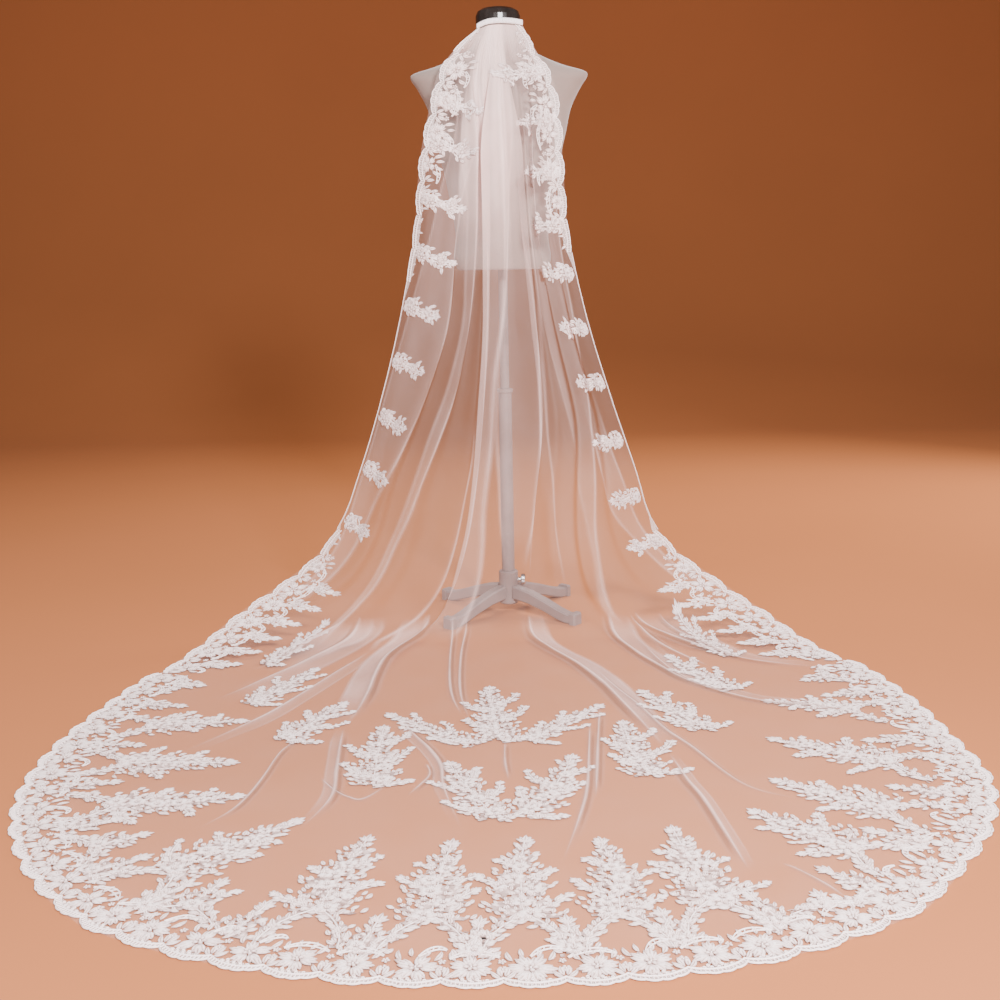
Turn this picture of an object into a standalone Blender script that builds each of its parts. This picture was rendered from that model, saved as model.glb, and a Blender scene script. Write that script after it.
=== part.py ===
# Cathedral bridal veil with a lace edge, standing on a limbless dress form.
#
# Frame: +Z up, the train runs out towards -Y, +X is to the right when the back
# of the form is faced.  All sizes are in metres.  The shapes are worked out
# about the pole of the stand and shifted so that the middle of the bottom of
# the whole object is the origin.
import bmesh
import bpy
import numpy as np
from mathutils import Vector
from mathutils.bvhtree import BVHTree
from mathutils.geometry import delaunay_2d_cdt

# ---------------------------------------------------------------- main sizes
POLE_X = 0.0258             # pole of the stand in the part's frame
POLE_Y = 0.7842
WALL = 0.0012               # tulle and lace walls
SEAM_GAP = 0.0005           # clear space between neighbouring pieces
LACE_GAP = 0.0008           # clear space between tulle and the lace on it

# Tulle: one row for each level line across the cloth, from the comb down to
# the floor and out to the hem.  station runs along the cloth.  left, right and
# middle say where the line's ends and its middle are.  power is how late the
# line leaves its middle depth and turns back to its ends.
LEVEL_ROWS = (
    # station, left x, left y, left z, right x, right y, right z, mid y, mid z, power
    (0.00, -0.050, -0.060, 1.388, 0.058, -0.060, 1.395, -0.074, 1.399, 2.0),
    (0.07, -0.100, -0.080, 1.346, 0.086, -0.080, 1.340, -0.092, 1.335, 2.0),
    (0.14, -0.140, -0.094, 1.295, 0.120, -0.094, 1.286, -0.108, 1.270, 2.0),
    (0.22, -0.162, -0.104, 1.219, 0.138, -0.104, 1.210, -0.124, 1.195, 3.0),
    (0.34, -0.188, -0.112, 1.103, 0.144, -0.122, 1.092, -0.140, 1.085, 4.0),
    (0.50, -0.206, -0.110, 0.944, 0.154, -0.126, 0.932, -0.155, 0.930, 5.0),
    (0.68, -0.240, -0.112, 0.768, 0.190, -0.130, 0.755, -0.170, 0.755, 5.0),
    (0.88, -0.291, -0.114, 0.575, 0.247, -0.130, 0.563, -0.185, 0.560, 5.0),
    (1.08, -0.354, -0.114, 0.386, 0.311, -0.122, 0.375, -0.197, 0.365, 5.0),
    (1.22, -0.408, -0.112, 0.258, 0.356, -0.114, 0.243, -0.206, 0.225, 4.0),
    (1.32, -0.470, -0.112, 0.181, 0.421, -0.112, 0.168, -0.213, 0.130, 4.0),
    (1.42, -0.550, -0.134, 0.122, 0.503, -0.134, 0.112, -0.222, 0.058, 3.0),
    (1.51, -0.617, -0.180, 0.084, 0.565, -0.178, 0.072, -0.240, 0.019, 3.0),
    (1.59, -0.668, -0.240, 0.054, 0.615, -0.240, 0.047, -0.276, 0.003, 3.0),
    (1.67, -0.708, -0.312, 0.028, 0.656, -0.312, 0.024, -0.335, 0.000, 3.0),
    (1.75, -0.745, -0.385, 0.010, 0.695, -0.388, 0.009, -0.405, 0.000, 3.0),
    (1.84, -0.778, -0.465, 0.000, 0.738, -0.470, 0.000, -0.490, 0.000, 2.0),
    (2.05, -0.824, -0.680, 0.000, 0.784, -0.670, 0.000, -0.695, 0.000, 2.0),
    (2.30, -0.851, -0.930, 0.000, 0.797, -0.910, 0.000, -0.945, 0.000, 2.2),
    (2.55, -0.830, -1.150, 0.000, 0.790, -1.140, 0.000, -1.200, 0.000, 2.4),
    (2.78, -0.759, -1.337, 0.000, 0.715, -1.330, 0.000, -1.425, 0.000, 2.5),
    (2.95, -0.674, -1.468, 0.000, 0.624, -1.460, 0.000, -1.594, 0.000, 2.5),
    (3.10, -0.588, -1.561, 0.000, 0.542, -1.559, 0.000, -1.731, 0.000, 2.4),
)
COL_STATION = 0
COL_LEFT = 1
COL_RIGHT = 4
COL_MID_Y = 7
COL_MID_Z = 8
COL_POWER = 9

TOUCH_STATION = 1.84        # the whole width lies on the floor from here on
STRETCHES = (
    # name, first station, last station
    ("tulle_fall", 0.00, 1.22),
    ("tulle_sweep", 1.22, 1.84),
    ("tulle_train", 1.84, 3.10),
)
HEM_STATION = 3.088         # cut edge of the tulle, just inside the lace edge
SIDE_LIMIT = 0.985          # the same at both sides, as a share of half width

# Long folds, from left to right.  label is the fold's own place among the
# threads that run from the comb to the hem; the u columns say where across
# the cloth it lies at each key station, from -1 at the left edge to +1.
FOLD_STATIONS = (0.00, 0.34, 0.68, 0.90, 1.14, 1.42, 1.84, 2.30, 3.10)
FOLD_ROWS = (
    # label, u at each of the fold stations, lean, hanging depth, floor height, floor end
    (-0.80, (-0.80, -0.56, -0.60, -0.73, -0.82, -0.81, -0.85, -0.88, -0.85), 0.9, 0.030, 0.004, 1.70),
    (-0.60, (-0.60, -0.36, -0.38, -0.48, -0.62, -0.62, -0.69, -0.77, -0.62), 0.6, 0.026, 0.010, 1.82),
    (-0.40, (-0.40, -0.22, -0.25, -0.27, -0.31, -0.38, -0.54, -0.60, -0.42), 0.4, 0.016, 0.008, 1.80),
    (-0.15, (-0.15, -0.08, -0.07, -0.11, -0.155, -0.26, -0.36, -0.355, -0.20), -0.9, 0.034, 0.014, 1.98),
    (0.10, (0.10, 0.18, 0.25, 0.24, 0.115, 0.04, 0.145, 0.33, 0.20), 0.8, 0.030, 0.011, 1.98),
    (0.35, (0.35, 0.36, 0.42, 0.43, 0.30, 0.25, 0.42, 0.52, 0.42), 0.3, 0.014, 0.007, 1.78),
    (0.60, (0.60, 0.60, 0.65, 0.68, 0.55, 0.45, 0.69, 0.80, 0.65), -0.6, 0.028, 0.010, 1.80),
    (0.82, (0.82, 0.80, 0.83, 0.85, 0.77, 0.74, 0.86, 0.90, 0.85), -0.8, 0.020, 0.004, 1.70),
)
FOLD_HALF_WIDTH = 0.052     # in label units
FOLD_STEPS = (-1.6, -0.75, 0.0, 0.75, 1.6)
FOLD_START = 0.05           # stations over which the folds open below the comb
FOLD_OPEN = 0.34
FOLD_SETTLE = 1.25          # stations over which they sink to the floor height
FOLD_FLOOR = 1.62
FOLD_FADE = 0.22
BETWEEN_FOLDS = (-0.95, -0.90, -0.70, -0.50, -0.275, -0.025, 0.225, 0.475, 0.71, 0.93, 0.965)

# Lace edging
SCALLOP = 0.078             # length of one scallop along the edge
SCALLOP_DEPTH = 0.012
EDGE_WIDTH = 0.078          # plain width of the edging on the train
SIDE_WIDTH = 0.045          # plain width of the edging on the hanging sides
HOLE_RADIUS = 0.0085
SIDE_HOLE_RADIUS = 0.0065
SPRIG_EVERY = 2             # scallops for each long sprig on the sides

# Leafy sprays that grow inwards from the train's edging, from left to right.
SPRAY_ROWS = (
    # share along the edging, tip x, tip y, half width
    (0.018, -0.640, -0.560, 0.036),
    (0.093, -0.508, -0.780, 0.050),
    (0.148, -0.485, -0.994, 0.055),
    (0.210, -0.444, -1.140, 0.056),
    (0.264, -0.564, -1.275, 0.038),
    (0.318, -0.336, -1.232, 0.058),
    (0.360, -0.417, -1.430, 0.038),
    (0.418, -0.226, -1.298, 0.056),
    (0.469, -0.099, -1.318, 0.052),
    (0.508, 0.010, -1.312, 0.052),
    (0.547, 0.123, -1.321, 0.052),
    (0.590, 0.235, -1.285, 0.054),
    (0.640, 0.402, -1.500, 0.032),
    (0.700, 0.362, -1.232, 0.058),
    (0.752, 0.421, -1.113, 0.054),
    (0.822, 0.456, -0.925, 0.055),
    (0.905, 0.489, -0.722, 0.046),
    (0.978, 0.594, -0.606, 0.034),
)
SPRAY_LEAVES = 3            # pairs of leaves in a spray's outline
BUMP_CLEARANCE = 0.082      # from a spray's foot to the nearest plain flower

# Single motifs sewn on the train, about the pole: foot, tip and half width.
MOTIF_ROWS = (
    # name, foot x, foot y, tip x, tip y, half width, leaf pairs
    ("applique_crown_middle", -0.022, -0.915, -0.048, -0.598, 0.060, 3),
    ("applique_crown_left", -0.098, -0.925, -0.250, -0.752, 0.038, 3),
    ("applique_crown_right", 0.050, -0.915, 0.178, -0.723, 0.038, 3),
    ("applique_vee_left", -0.048, -1.235, -0.120, -1.004, 0.052, 3),
    ("applique_vee_right", 0.030, -1.220, 0.105, -0.983, 0.052, 3),
    ("applique_inner_left", -0.242, -1.105, -0.246, -0.817, 0.056, 3),
    ("applique_inner_right", 0.232, -1.090, 0.205, -0.815, 0.056, 3),
    ("applique_middle_left", -0.420, -0.893, -0.333, -0.680, 0.048, 3),
    ("applique_middle_right", 0.360, -0.878, 0.258, -0.645, 0.048, 3),
    ("applique_outer_left", -0.530, -0.690, -0.424, -0.455, 0.044, 3),
    ("applique_outer_right", 0.455, -0.660, 0.346, -0.410, 0.044, 3),
)

# Dress form: one row for each cross-section from the bottom rim to the neck.
TORSO_ROWS = (
    # z, half width, half depth, y of the middle
    (0.849, 0.106, 0.084, 0.004),
    (0.853, 0.109, 0.087, 0.004),
    (0.930, 0.111, 0.086, 0.004),
    (1.020, 0.124, 0.092, 0.006),
    (1.100, 0.140, 0.102, 0.010),
    (1.170, 0.157, 0.102, 0.012),
    (1.228, 0.171, 0.086, 0.006),
    (1.270, 0.193, 0.068, -0.002),
    (1.296, 0.208, 0.058, -0.004),
    (1.302, 0.204, 0.054, -0.004),
    (1.318, 0.152, 0.052, -0.003),
    (1.337, 0.106, 0.051, -0.002),
    (1.356, 0.071, 0.050, 0.000),
    (1.378, 0.054, 0.049, 0.000),
    (1.4120, 0.051, 0.048, 0.000),
)
TORSO_SEGMENTS = 32
CAP_ROWS = (
    # z, radius
    (1.4126, 0.049),
    (1.4150, 0.052),
    (1.4300, 0.052),
    (1.4400, 0.048),
    (1.4460, 0.038),
    (1.4490, 0.020),
)
RIM_Z = 0.849
POLE_RADIUS = 0.0110
SLEEVE_RADIUS = 0.0160
SLEEVE_TOP = 0.552
RING_RADIUS = 0.0190
RING_HEIGHT = 0.010
HUB_RADIUS = 0.0240
HUB_BOTTOM = 0.022
HUB_TOP = 0.106
POLE_SEGMENTS = 20

LEG_ROWS = (
    # name, angle of the leg seen from above in degrees
    ("leg_back_left", 140.0),
    ("leg_front_left", 226.2),
    ("leg_front_right", 319.7),
    ("leg_back_right", 44.8),
)
LEG_PROFILE = (
    # reach, underside z, top z
    (0.0246, 0.036, 0.070),
    (0.070, 0.031, 0.062),
    (0.120, 0.019, 0.047),
    (0.160, 0.006, 0.033),
    (0.185, 0.000, 0.026),
    (0.202, 0.000, 0.024),
)
LEG_HALF_WIDTH = 0.014
FOOT_REACH = (0.2023, 0.2180)
FOOT_HALF_WIDTH = 0.0165
FOOT_TOP = 0.029

KNOB_Z = 0.082
KNOB_RADIUS = 0.0135
KNOB_FROM = 0.0243          # the clamp knob starts just clear of the hub
KNOB_NECK = 0.031
KNOB_TO = 0.042

BAND_DEPTH = 0.0045         # gathered band over the comb
BAND_HEIGHT = 0.013
BAND_STEPS = 16

MATERIALS = (
    # slot, colour, roughness, metallic
    ("tulle", (0.93, 0.90, 0.88, 1.0), 0.80, 0.0),
    ("lace", (0.96, 0.94, 0.92, 1.0), 0.70, 0.0),
    ("satin", (0.96, 0.94, 0.93, 1.0), 0.45, 0.0),
    ("form_cloth", (0.72, 0.66, 0.58, 1.0), 0.85, 0.0),
    ("cap_lacquer", (0.10, 0.085, 0.08, 1.0), 0.25, 0.0),
    ("stand_paint", (0.74, 0.72, 0.76, 1.0), 0.40, 0.0),
    ("knob_metal", (0.82, 0.82, 0.84, 1.0), 0.25, 1.0),
)


# ------------------------------------------------------------------- helpers
def clear_scene():
    for thing in list(bpy.data.objects):
        bpy.data.objects.remove(thing, do_unlink=True)


def make_materials():
    slots = {}
    for name, colour, roughness, metallic in MATERIALS:
        material = bpy.data.materials.new(name)
        material.use_nodes = True
        shader = material.node_tree.nodes["Principled BSDF"]
        shader.inputs["Base Color"].default_value = colour
        shader.inputs["Roughness"].default_value = roughness
        shader.inputs["Metallic"].default_value = metallic
        material.diffuse_color = colour
        slots[name] = material
    return slots


def add_solid(name, points, faces, material, smooth=False):
    """Make one named closed mesh; points are about the pole."""
    mesh = bpy.data.meshes.new(name)
    shifted = [(p[0] + POLE_X, p[1] + POLE_Y, p[2]) for p in points]
    mesh.from_pydata(shifted, [], faces)
    shell = bmesh.new()
    shell.from_mesh(mesh)
    bmesh.ops.recalc_face_normals(shell, faces=shell.faces)
    shell.to_mesh(mesh)
    shell.free()
    mesh.materials.append(material)
    for face in mesh.polygons:
        face.use_smooth = smooth
    mesh.update()
    thing = bpy.data.objects.new(name, mesh)
    bpy.context.collection.objects.link(thing)
    return thing


def smooth_between(keys, values, at):
    """Cubic Hermite curve through (keys, values), with no overshoot at flats."""
    keys = np.asarray(keys, float)
    values = np.asarray(values, float)
    at = np.asarray(at, float)
    steps = np.diff(keys)
    rises = np.diff(values) / steps
    slopes = np.zeros(len(keys))
    slopes[1:-1] = (rises[:-1] * steps[1:] + rises[1:] * steps[:-1]) / (steps[:-1] + steps[1:])
    slopes[1:-1] = np.where(rises[:-1] * rises[1:] <= 0.0, 0.0, slopes[1:-1])
    slopes[0] = rises[0]
    slopes[-1] = rises[-1]
    cell = np.clip(np.searchsorted(keys, at, side="right") - 1, 0, len(steps) - 1)
    width = steps[cell]
    share = np.clip((at - keys[cell]) / width, 0.0, 1.0)
    square = share * share
    cube = square * share
    return ((2 * cube - 3 * square + 1) * values[cell]
            + (cube - 2 * square + share) * width * slopes[cell]
            + (3 * square - 2 * cube) * values[cell + 1]
            + (cube - square) * width * slopes[cell + 1])


def ease(value, start, end):
    share = np.clip((np.asarray(value, float) - start) / (end - start), 0.0, 1.0)
    return share * share * (3.0 - 2.0 * share)


# --------------------------------------------------------------------- tulle
LEVELS = np.array(LEVEL_ROWS)


def level_value(column, station):
    return smooth_between(LEVELS[:, COL_STATION], LEVELS[:, column], station)


def base_point(across, station):
    """The unfolded cloth: across runs from -1 to +1, station from comb to hem."""
    across = np.asarray(across, float)
    station = np.asarray(station, float)
    size = np.abs(across)
    right = across > 0.0
    end_x = np.where(right, level_value(COL_RIGHT, station), level_value(COL_LEFT, station))
    end_y = np.where(right, level_value(COL_RIGHT + 1, station), level_value(COL_LEFT + 1, station))
    end_z = np.where(right, level_value(COL_RIGHT + 2, station), level_value(COL_LEFT + 2, station))
    mid_y = level_value(COL_MID_Y, station)
    mid_z = level_value(COL_MID_Z, station)
    turn = size ** level_value(COL_POWER, station)
    drop = size ** 2.6
    return np.stack([end_x * size, mid_y + (end_y - mid_y) * turn,
                     mid_z + (end_z - mid_z) * drop], axis=-1)


def across_of(label, station):
    """Where a thread that keeps its label lies across the cloth."""
    labels = [-1.0] + [row[0] for row in FOLD_ROWS] + [1.0]
    tracks = [np.full(np.shape(station), -1.0)]
    for row in FOLD_ROWS:
        tracks.append(smooth_between(FOLD_STATIONS, row[1], station))
    tracks.append(np.full(np.shape(station), 1.0))
    tracks = np.stack(tracks, axis=-1)
    out = np.empty(np.shape(station))
    for index in np.ndindex(np.shape(station)):
        out[index] = np.interp(label[index], labels, tracks[index])
    return out


def fold_depth(row, station):
    hanging, floor, end = row[3], row[4], row[5]
    opening = ease(station, FOLD_START, FOLD_OPEN)
    settling = ease(station, FOLD_SETTLE, FOLD_FLOOR)
    fading = 1.0 - ease(station, end - FOLD_FADE, end)
    return opening * (hanging + (floor - hanging) * settling) * fading


def surface_normals(points):
    """Normals of a grid of points; they point out of the back and up."""
    along = np.gradient(points, axis=0)
    across = np.gradient(points, axis=1)
    normal = np.cross(along, across)
    normal /= np.linalg.norm(normal, axis=-1, keepdims=True) + 1e-12
    return normal


def tulle_grid(labels, stations):
    """Points and outward normals of the folded cloth on a grid of threads."""
    station, label = np.meshgrid(stations, labels, indexing="ij")
    across = across_of(label, station) * SIDE_LIMIT
    base = base_point(across, station)
    normal = surface_normals(base)
    side = np.gradient(base, axis=1)
    side /= np.linalg.norm(side, axis=-1, keepdims=True) + 1e-12
    folded = base.copy()
    for row in FOLD_ROWS:
        bump = np.exp(-((label - row[0]) / FOLD_HALF_WIDTH) ** 2)
        lift = bump * fold_depth(row, station)
        hanging = 1.0 - ease(station, FOLD_SETTLE, FOLD_FLOOR)
        folded += normal * lift[..., None]
        folded += side * (lift * row[2] * hanging)[..., None]
    return folded, surface_normals(folded)


def thread_labels():
    labels = [-1.0, 1.0] + list(BETWEEN_FOLDS)
    for row in FOLD_ROWS:
        labels += [row[0] + step * FOLD_HALF_WIDTH for step in FOLD_STEPS]
    return np.array(sorted(set(np.round(labels, 4))))


def grid_wall(name, outer, inner, material):
    """A closed wall between two grids of points."""
    rows, columns = outer.shape[:2]
    points = np.concatenate([outer.reshape(-1, 3), inner.reshape(-1, 3)])
    count = rows * columns
    faces = []

    def at(row, column):
        return row * columns + column

    for row in range(rows - 1):
        for column in range(columns - 1):
            a = at(row, column)
            b = at(row, column + 1)
            c = at(row + 1, column + 1)
            d = at(row + 1, column)
            faces.append((a, d, c))
            faces.append((a, c, b))
            faces.append((a + count, c + count, d + count))
            faces.append((a + count, b + count, c + count))
    rim = [at(0, column) for column in range(columns)]
    rim += [at(row, columns - 1) for row in range(1, rows)]
    rim += [at(rows - 1, column) for column in range(columns - 2, -1, -1)]
    rim += [at(row, 0) for row in range(rows - 2, 0, -1)]
    for index, here in enumerate(rim):
        there = rim[(index + 1) % len(rim)]
        faces.append((here, there, there + count))
        faces.append((here, there + count, here + count))
    return add_solid(name, points.tolist(), faces, material, smooth=True)


def tulle_pieces(labels, stations, slots):
    """The stretches of tulle, each a closed wall just clear of the next."""
    points, normals = tulle_grid(labels, stations)
    on_floor = stations >= TOUCH_STATION - 1e-6
    normals[on_floor] = (0.0, 0.0, 1.0)
    outer = points + normals * WALL
    inner = points.copy()
    inner[..., 2] = np.maximum(inner[..., 2], 0.0)
    for name, first, last in STRETCHES:
        rows = (stations >= first - 1e-6) & (stations <= last + 1e-6)
        upper = outer[rows].copy()
        lower = inner[rows].copy()
        if last < HEM_STATION:
            step = upper[-2] - upper[-1]
            step /= np.linalg.norm(step, axis=-1, keepdims=True)
            upper[-1] += step * SEAM_GAP
            lower[-1] += step * SEAM_GAP
        grid_wall(name, upper, lower, slots["tulle"])
    return outer, int(np.argmax(on_floor))


# ---------------------------------------------------------------- lace plates
def inside(point, loop):
    x, y = point
    hit = False
    previous = loop[-1]
    for here in loop:
        if (here[1] > y) != (previous[1] > y):
            cross = (previous[0] - here[0]) * (y - here[1]) / (previous[1] - here[1]) + here[0]
            if x < cross:
                hit = not hit
        previous = here
    return hit


def plate_triangles(outline, holes, guides=()):
    """Flat triangles of an outline less its holes, split along guide lines."""
    points = []
    edges = []
    for loop in [outline] + list(holes):
        start = len(points)
        points += [Vector(p) for p in loop]
        edges += [(start + i, start + (i + 1) % len(loop)) for i in range(len(loop))]
    for line in guides:
        start = len(points)
        points += [Vector(p) for p in line]
        edges += [(start + i, start + i + 1) for i in range(len(line) - 1)]
    result = delaunay_2d_cdt(points, edges, [], 0, 1e-6, False)
    flat = [(v.x, v.y) for v in result[0]]
    kept = []
    for face in result[2]:
        if len(face) != 3:
            continue
        middle = (sum(flat[i][0] for i in face) / 3.0, sum(flat[i][1] for i in face) / 3.0)
        if inside(middle, outline) and not any(inside(middle, hole) for hole in holes):
            a, b, c = (flat[i] for i in face)
            area = (b[0] - a[0]) * (c[1] - a[1]) - (b[1] - a[1]) * (c[0] - a[0])
            kept.append(tuple(face) if area > 0.0 else (face[0], face[2], face[1]))
    used = sorted({i for face in kept for i in face})
    renumber = {old: new for new, old in enumerate(used)}
    return [flat[i] for i in used], [tuple(renumber[i] for i in face) for face in kept]


def lace_solid(name, outline, holes, place, material, guides=()):
    """A thin plate of lace; place(x, y) gives its under and upper point."""
    flat, triangles = plate_triangles(outline, holes, guides)
    count = len(flat)
    under = []
    upper = []
    for x, y in flat:
        low, high = place(x, y)
        under.append(low)
        upper.append(high)
    faces = []
    borders = {}
    for a, b, c in triangles:
        faces.append((a + count, b + count, c + count))
        faces.append((a, c, b))
        for first, second in ((a, b), (b, c), (c, a)):
            borders[(first, second)] = True
    for first, second in borders:
        if (second, first) not in borders:
            faces.append((first, second, second + count))
            faces.append((first, second + count, first + count))
    return add_solid(name, under + upper, faces, material)


def leafy_outline(foot, tip, half_width, pairs, drift=0.0):
    """Points round a leafy spray from its left foot to its right foot."""
    foot = np.array(foot, float)
    tip = np.array(tip, float)
    axis = tip - foot
    length = np.linalg.norm(axis)
    axis /= length
    side = np.array([-axis[1], axis[0]])

    def at(share, offset):
        bend = drift * share * share
        return tuple(foot + axis * (share * length) + side * (offset + bend))

    left = [at(0.0, half_width * 0.62)]
    right = [at(0.0, -half_width * 0.62)]
    for pair in range(pairs):
        share = (pair + 0.75) / (pairs + 0.6)
        reach = half_width * (1.05 - 0.62 * share)
        left.append(at(share, reach))
        left.append(at(share + 0.10, reach * 0.42))
        right.append(at(share - 0.09, -reach * 0.96))
        right.append(at(share + 0.03, -reach * 0.40))
    return left + [at(1.0, 0.0)] + right[::-1]


def ring_of(middle, radius, count=6, stretch=1.0, turn=0.0):
    points = []
    for index in range(count):
        angle = turn + 2.0 * np.pi * index / count
        points.append((middle[0] + radius * np.cos(angle),
                       middle[1] + radius * stretch * np.sin(angle)))
    return points


# --------------------------------------------------------- edging on the train
def train_path(samples=1200):
    """The train's edge on the floor from its left to its right contact."""
    down = np.linspace(TOUCH_STATION, LEVELS[-1, COL_STATION], samples)
    left = np.stack([level_value(COL_LEFT, down), level_value(COL_LEFT + 1, down)], axis=-1)
    right = np.stack([level_value(COL_RIGHT, down), level_value(COL_RIGHT + 1, down)], axis=-1)
    across = np.linspace(-1.0, 1.0, samples)
    hem = base_point(across, np.full(samples, LEVELS[-1, COL_STATION]))[:, :2]
    path = np.concatenate([left[:-1], hem, right[::-1][1:]])
    lengths = np.concatenate([[0.0], np.cumsum(np.linalg.norm(np.diff(path, axis=0), axis=1))])
    even = np.linspace(0.0, lengths[-1], 3 * samples)
    path = np.stack([np.interp(even, lengths, path[:, 0]), np.interp(even, lengths, path[:, 1])], -1)
    heading = np.gradient(path, axis=0)
    window = 181
    kernel = np.hanning(window)
    kernel /= kernel.sum()
    padded = np.pad(heading, ((window // 2, window // 2), (0, 0)), mode="edge")
    heading = np.stack([np.convolve(padded[:, k], kernel, mode="valid") for k in (0, 1)], -1)
    heading /= np.linalg.norm(heading, axis=1, keepdims=True)
    inward = np.stack([-heading[:, 1], heading[:, 0]], -1)
    return even, path, inward


def train_lace(slots):
    """The edging along the train with its leafy sprays, cut through."""
    lengths, path, inward = train_path()
    total = lengths[-1]
    start = SEAM_GAP + 0.002
    scallops = int(round((total - 2 * start) / SCALLOP))
    pitch = (total - 2 * start) / scallops

    def on_floor(run, depth):
        x = np.interp(run, lengths, path[:, 0]) + np.interp(run, lengths, inward[:, 0]) * depth
        y = np.interp(run, lengths, path[:, 1]) + np.interp(run, lengths, inward[:, 1]) * depth
        return (float(x), float(y))

    outline = []
    for index in range(scallops):
        for share in (0.0, 0.25, 0.5, 0.75):
            depth = SCALLOP_DEPTH * (1.0 - np.sin(np.pi * share))
            outline.append(on_floor(start + (index + share) * pitch, depth))
    outline.append(on_floor(total - start, SCALLOP_DEPTH))
    feet = [row[0] * total for row in SPRAY_ROWS]
    back = [(start, [on_floor(start, EDGE_WIDTH - 0.012)])]
    holes = []
    for (share, tip_x, tip_y, half_width), run in zip(SPRAY_ROWS, feet):
        foot = np.array(on_floor(run, EDGE_WIDTH - 0.006))
        tip = np.array((tip_x, tip_y))
        back.append((run, leafy_outline(foot, tip, half_width, SPRAY_LEAVES)))
        if np.linalg.norm(tip - foot) > 0.2:
            for place, size in ((0.22, 0.9), (0.50, 0.6)):
                holes.append(ring_of(foot + (tip - foot) * place, HOLE_RADIUS * size, 5))
    for index in range(scallops):
        run = start + (index + 0.5) * pitch
        if min(abs(run - foot) for foot in feet) > BUMP_CLEARANCE:
            back.append((run, [on_floor(run - 0.30 * pitch, EDGE_WIDTH - 0.012),
                               on_floor(run - 0.05 * pitch, EDGE_WIDTH + 0.018),
                               on_floor(run + 0.22 * pitch, EDGE_WIDTH - 0.004)]))
    back.append((total - start, [on_floor(total - start, EDGE_WIDTH - 0.012)]))
    back = [point for run, points in sorted(back, key=lambda item: item[0]) for point in points]
    outline += back[::-1]
    for index in range(scallops):
        middle = start + (index + 0.5) * pitch
        holes.append([on_floor(middle + dx, 0.030 + dy)
                      for dx, dy in ring_of((0.0, 0.0), HOLE_RADIUS, 6, 0.8)])
        holes.append([on_floor(middle + 0.5 * pitch + dx, 0.047 + dy)
                      for dx, dy in ring_of((0.0, 0.0), HOLE_RADIUS * 0.7, 4)]
                     if index < scallops - 1 else
                     [on_floor(middle + dx, 0.054 + dy)
                      for dx, dy in ring_of((0.0, 0.0), HOLE_RADIUS * 0.6, 4)])
    low = WALL + LACE_GAP
    high = low + WALL
    lace_solid("lace_train_edge", outline, holes,
               lambda x, y: ((x, y, low), (x, y, high)), slots["lace"])


def cloth_top(outer):
    """Search tree over the tulle's upper surface, for laying lace on it."""
    columns = outer.shape[1]
    points = [Vector(p) for p in outer.reshape(-1, 3)]
    faces = []
    for row in range(outer.shape[0] - 1):
        for column in range(columns - 1):
            a = row * columns + column
            faces.append((a, a + columns, a + columns + 1))
            faces.append((a, a + columns + 1, a + 1))
    return BVHTree.FromPolygons(points, faces)


def motifs(slots, top):
    """The single sprays, each laid on the tulle under it."""
    def place(x, y):
        hit = top.ray_cast(Vector((x, y, 0.25)), Vector((0.0, 0.0, -1.0)))[0]
        low = (hit.z if hit else WALL) + LACE_GAP
        return (x, y, low), (x, y, low + WALL)

    for name, foot_x, foot_y, tip_x, tip_y, half_width, pairs in MOTIF_ROWS:
        foot = np.array((foot_x, foot_y))
        tip = np.array((tip_x, tip_y))
        outline = leafy_outline(foot, tip, half_width, pairs)
        heading = (tip - foot) / np.linalg.norm(tip - foot)
        outline = [tuple(foot - heading * half_width * 0.5)] + outline[::-1]
        holes = [ring_of(foot + (tip - foot) * share, HOLE_RADIUS * size, 5)
                 for share, size in ((0.18, 0.9), (0.45, 0.7))]
        lace_solid(name, outline, holes, place, slots["lace"])


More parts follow.
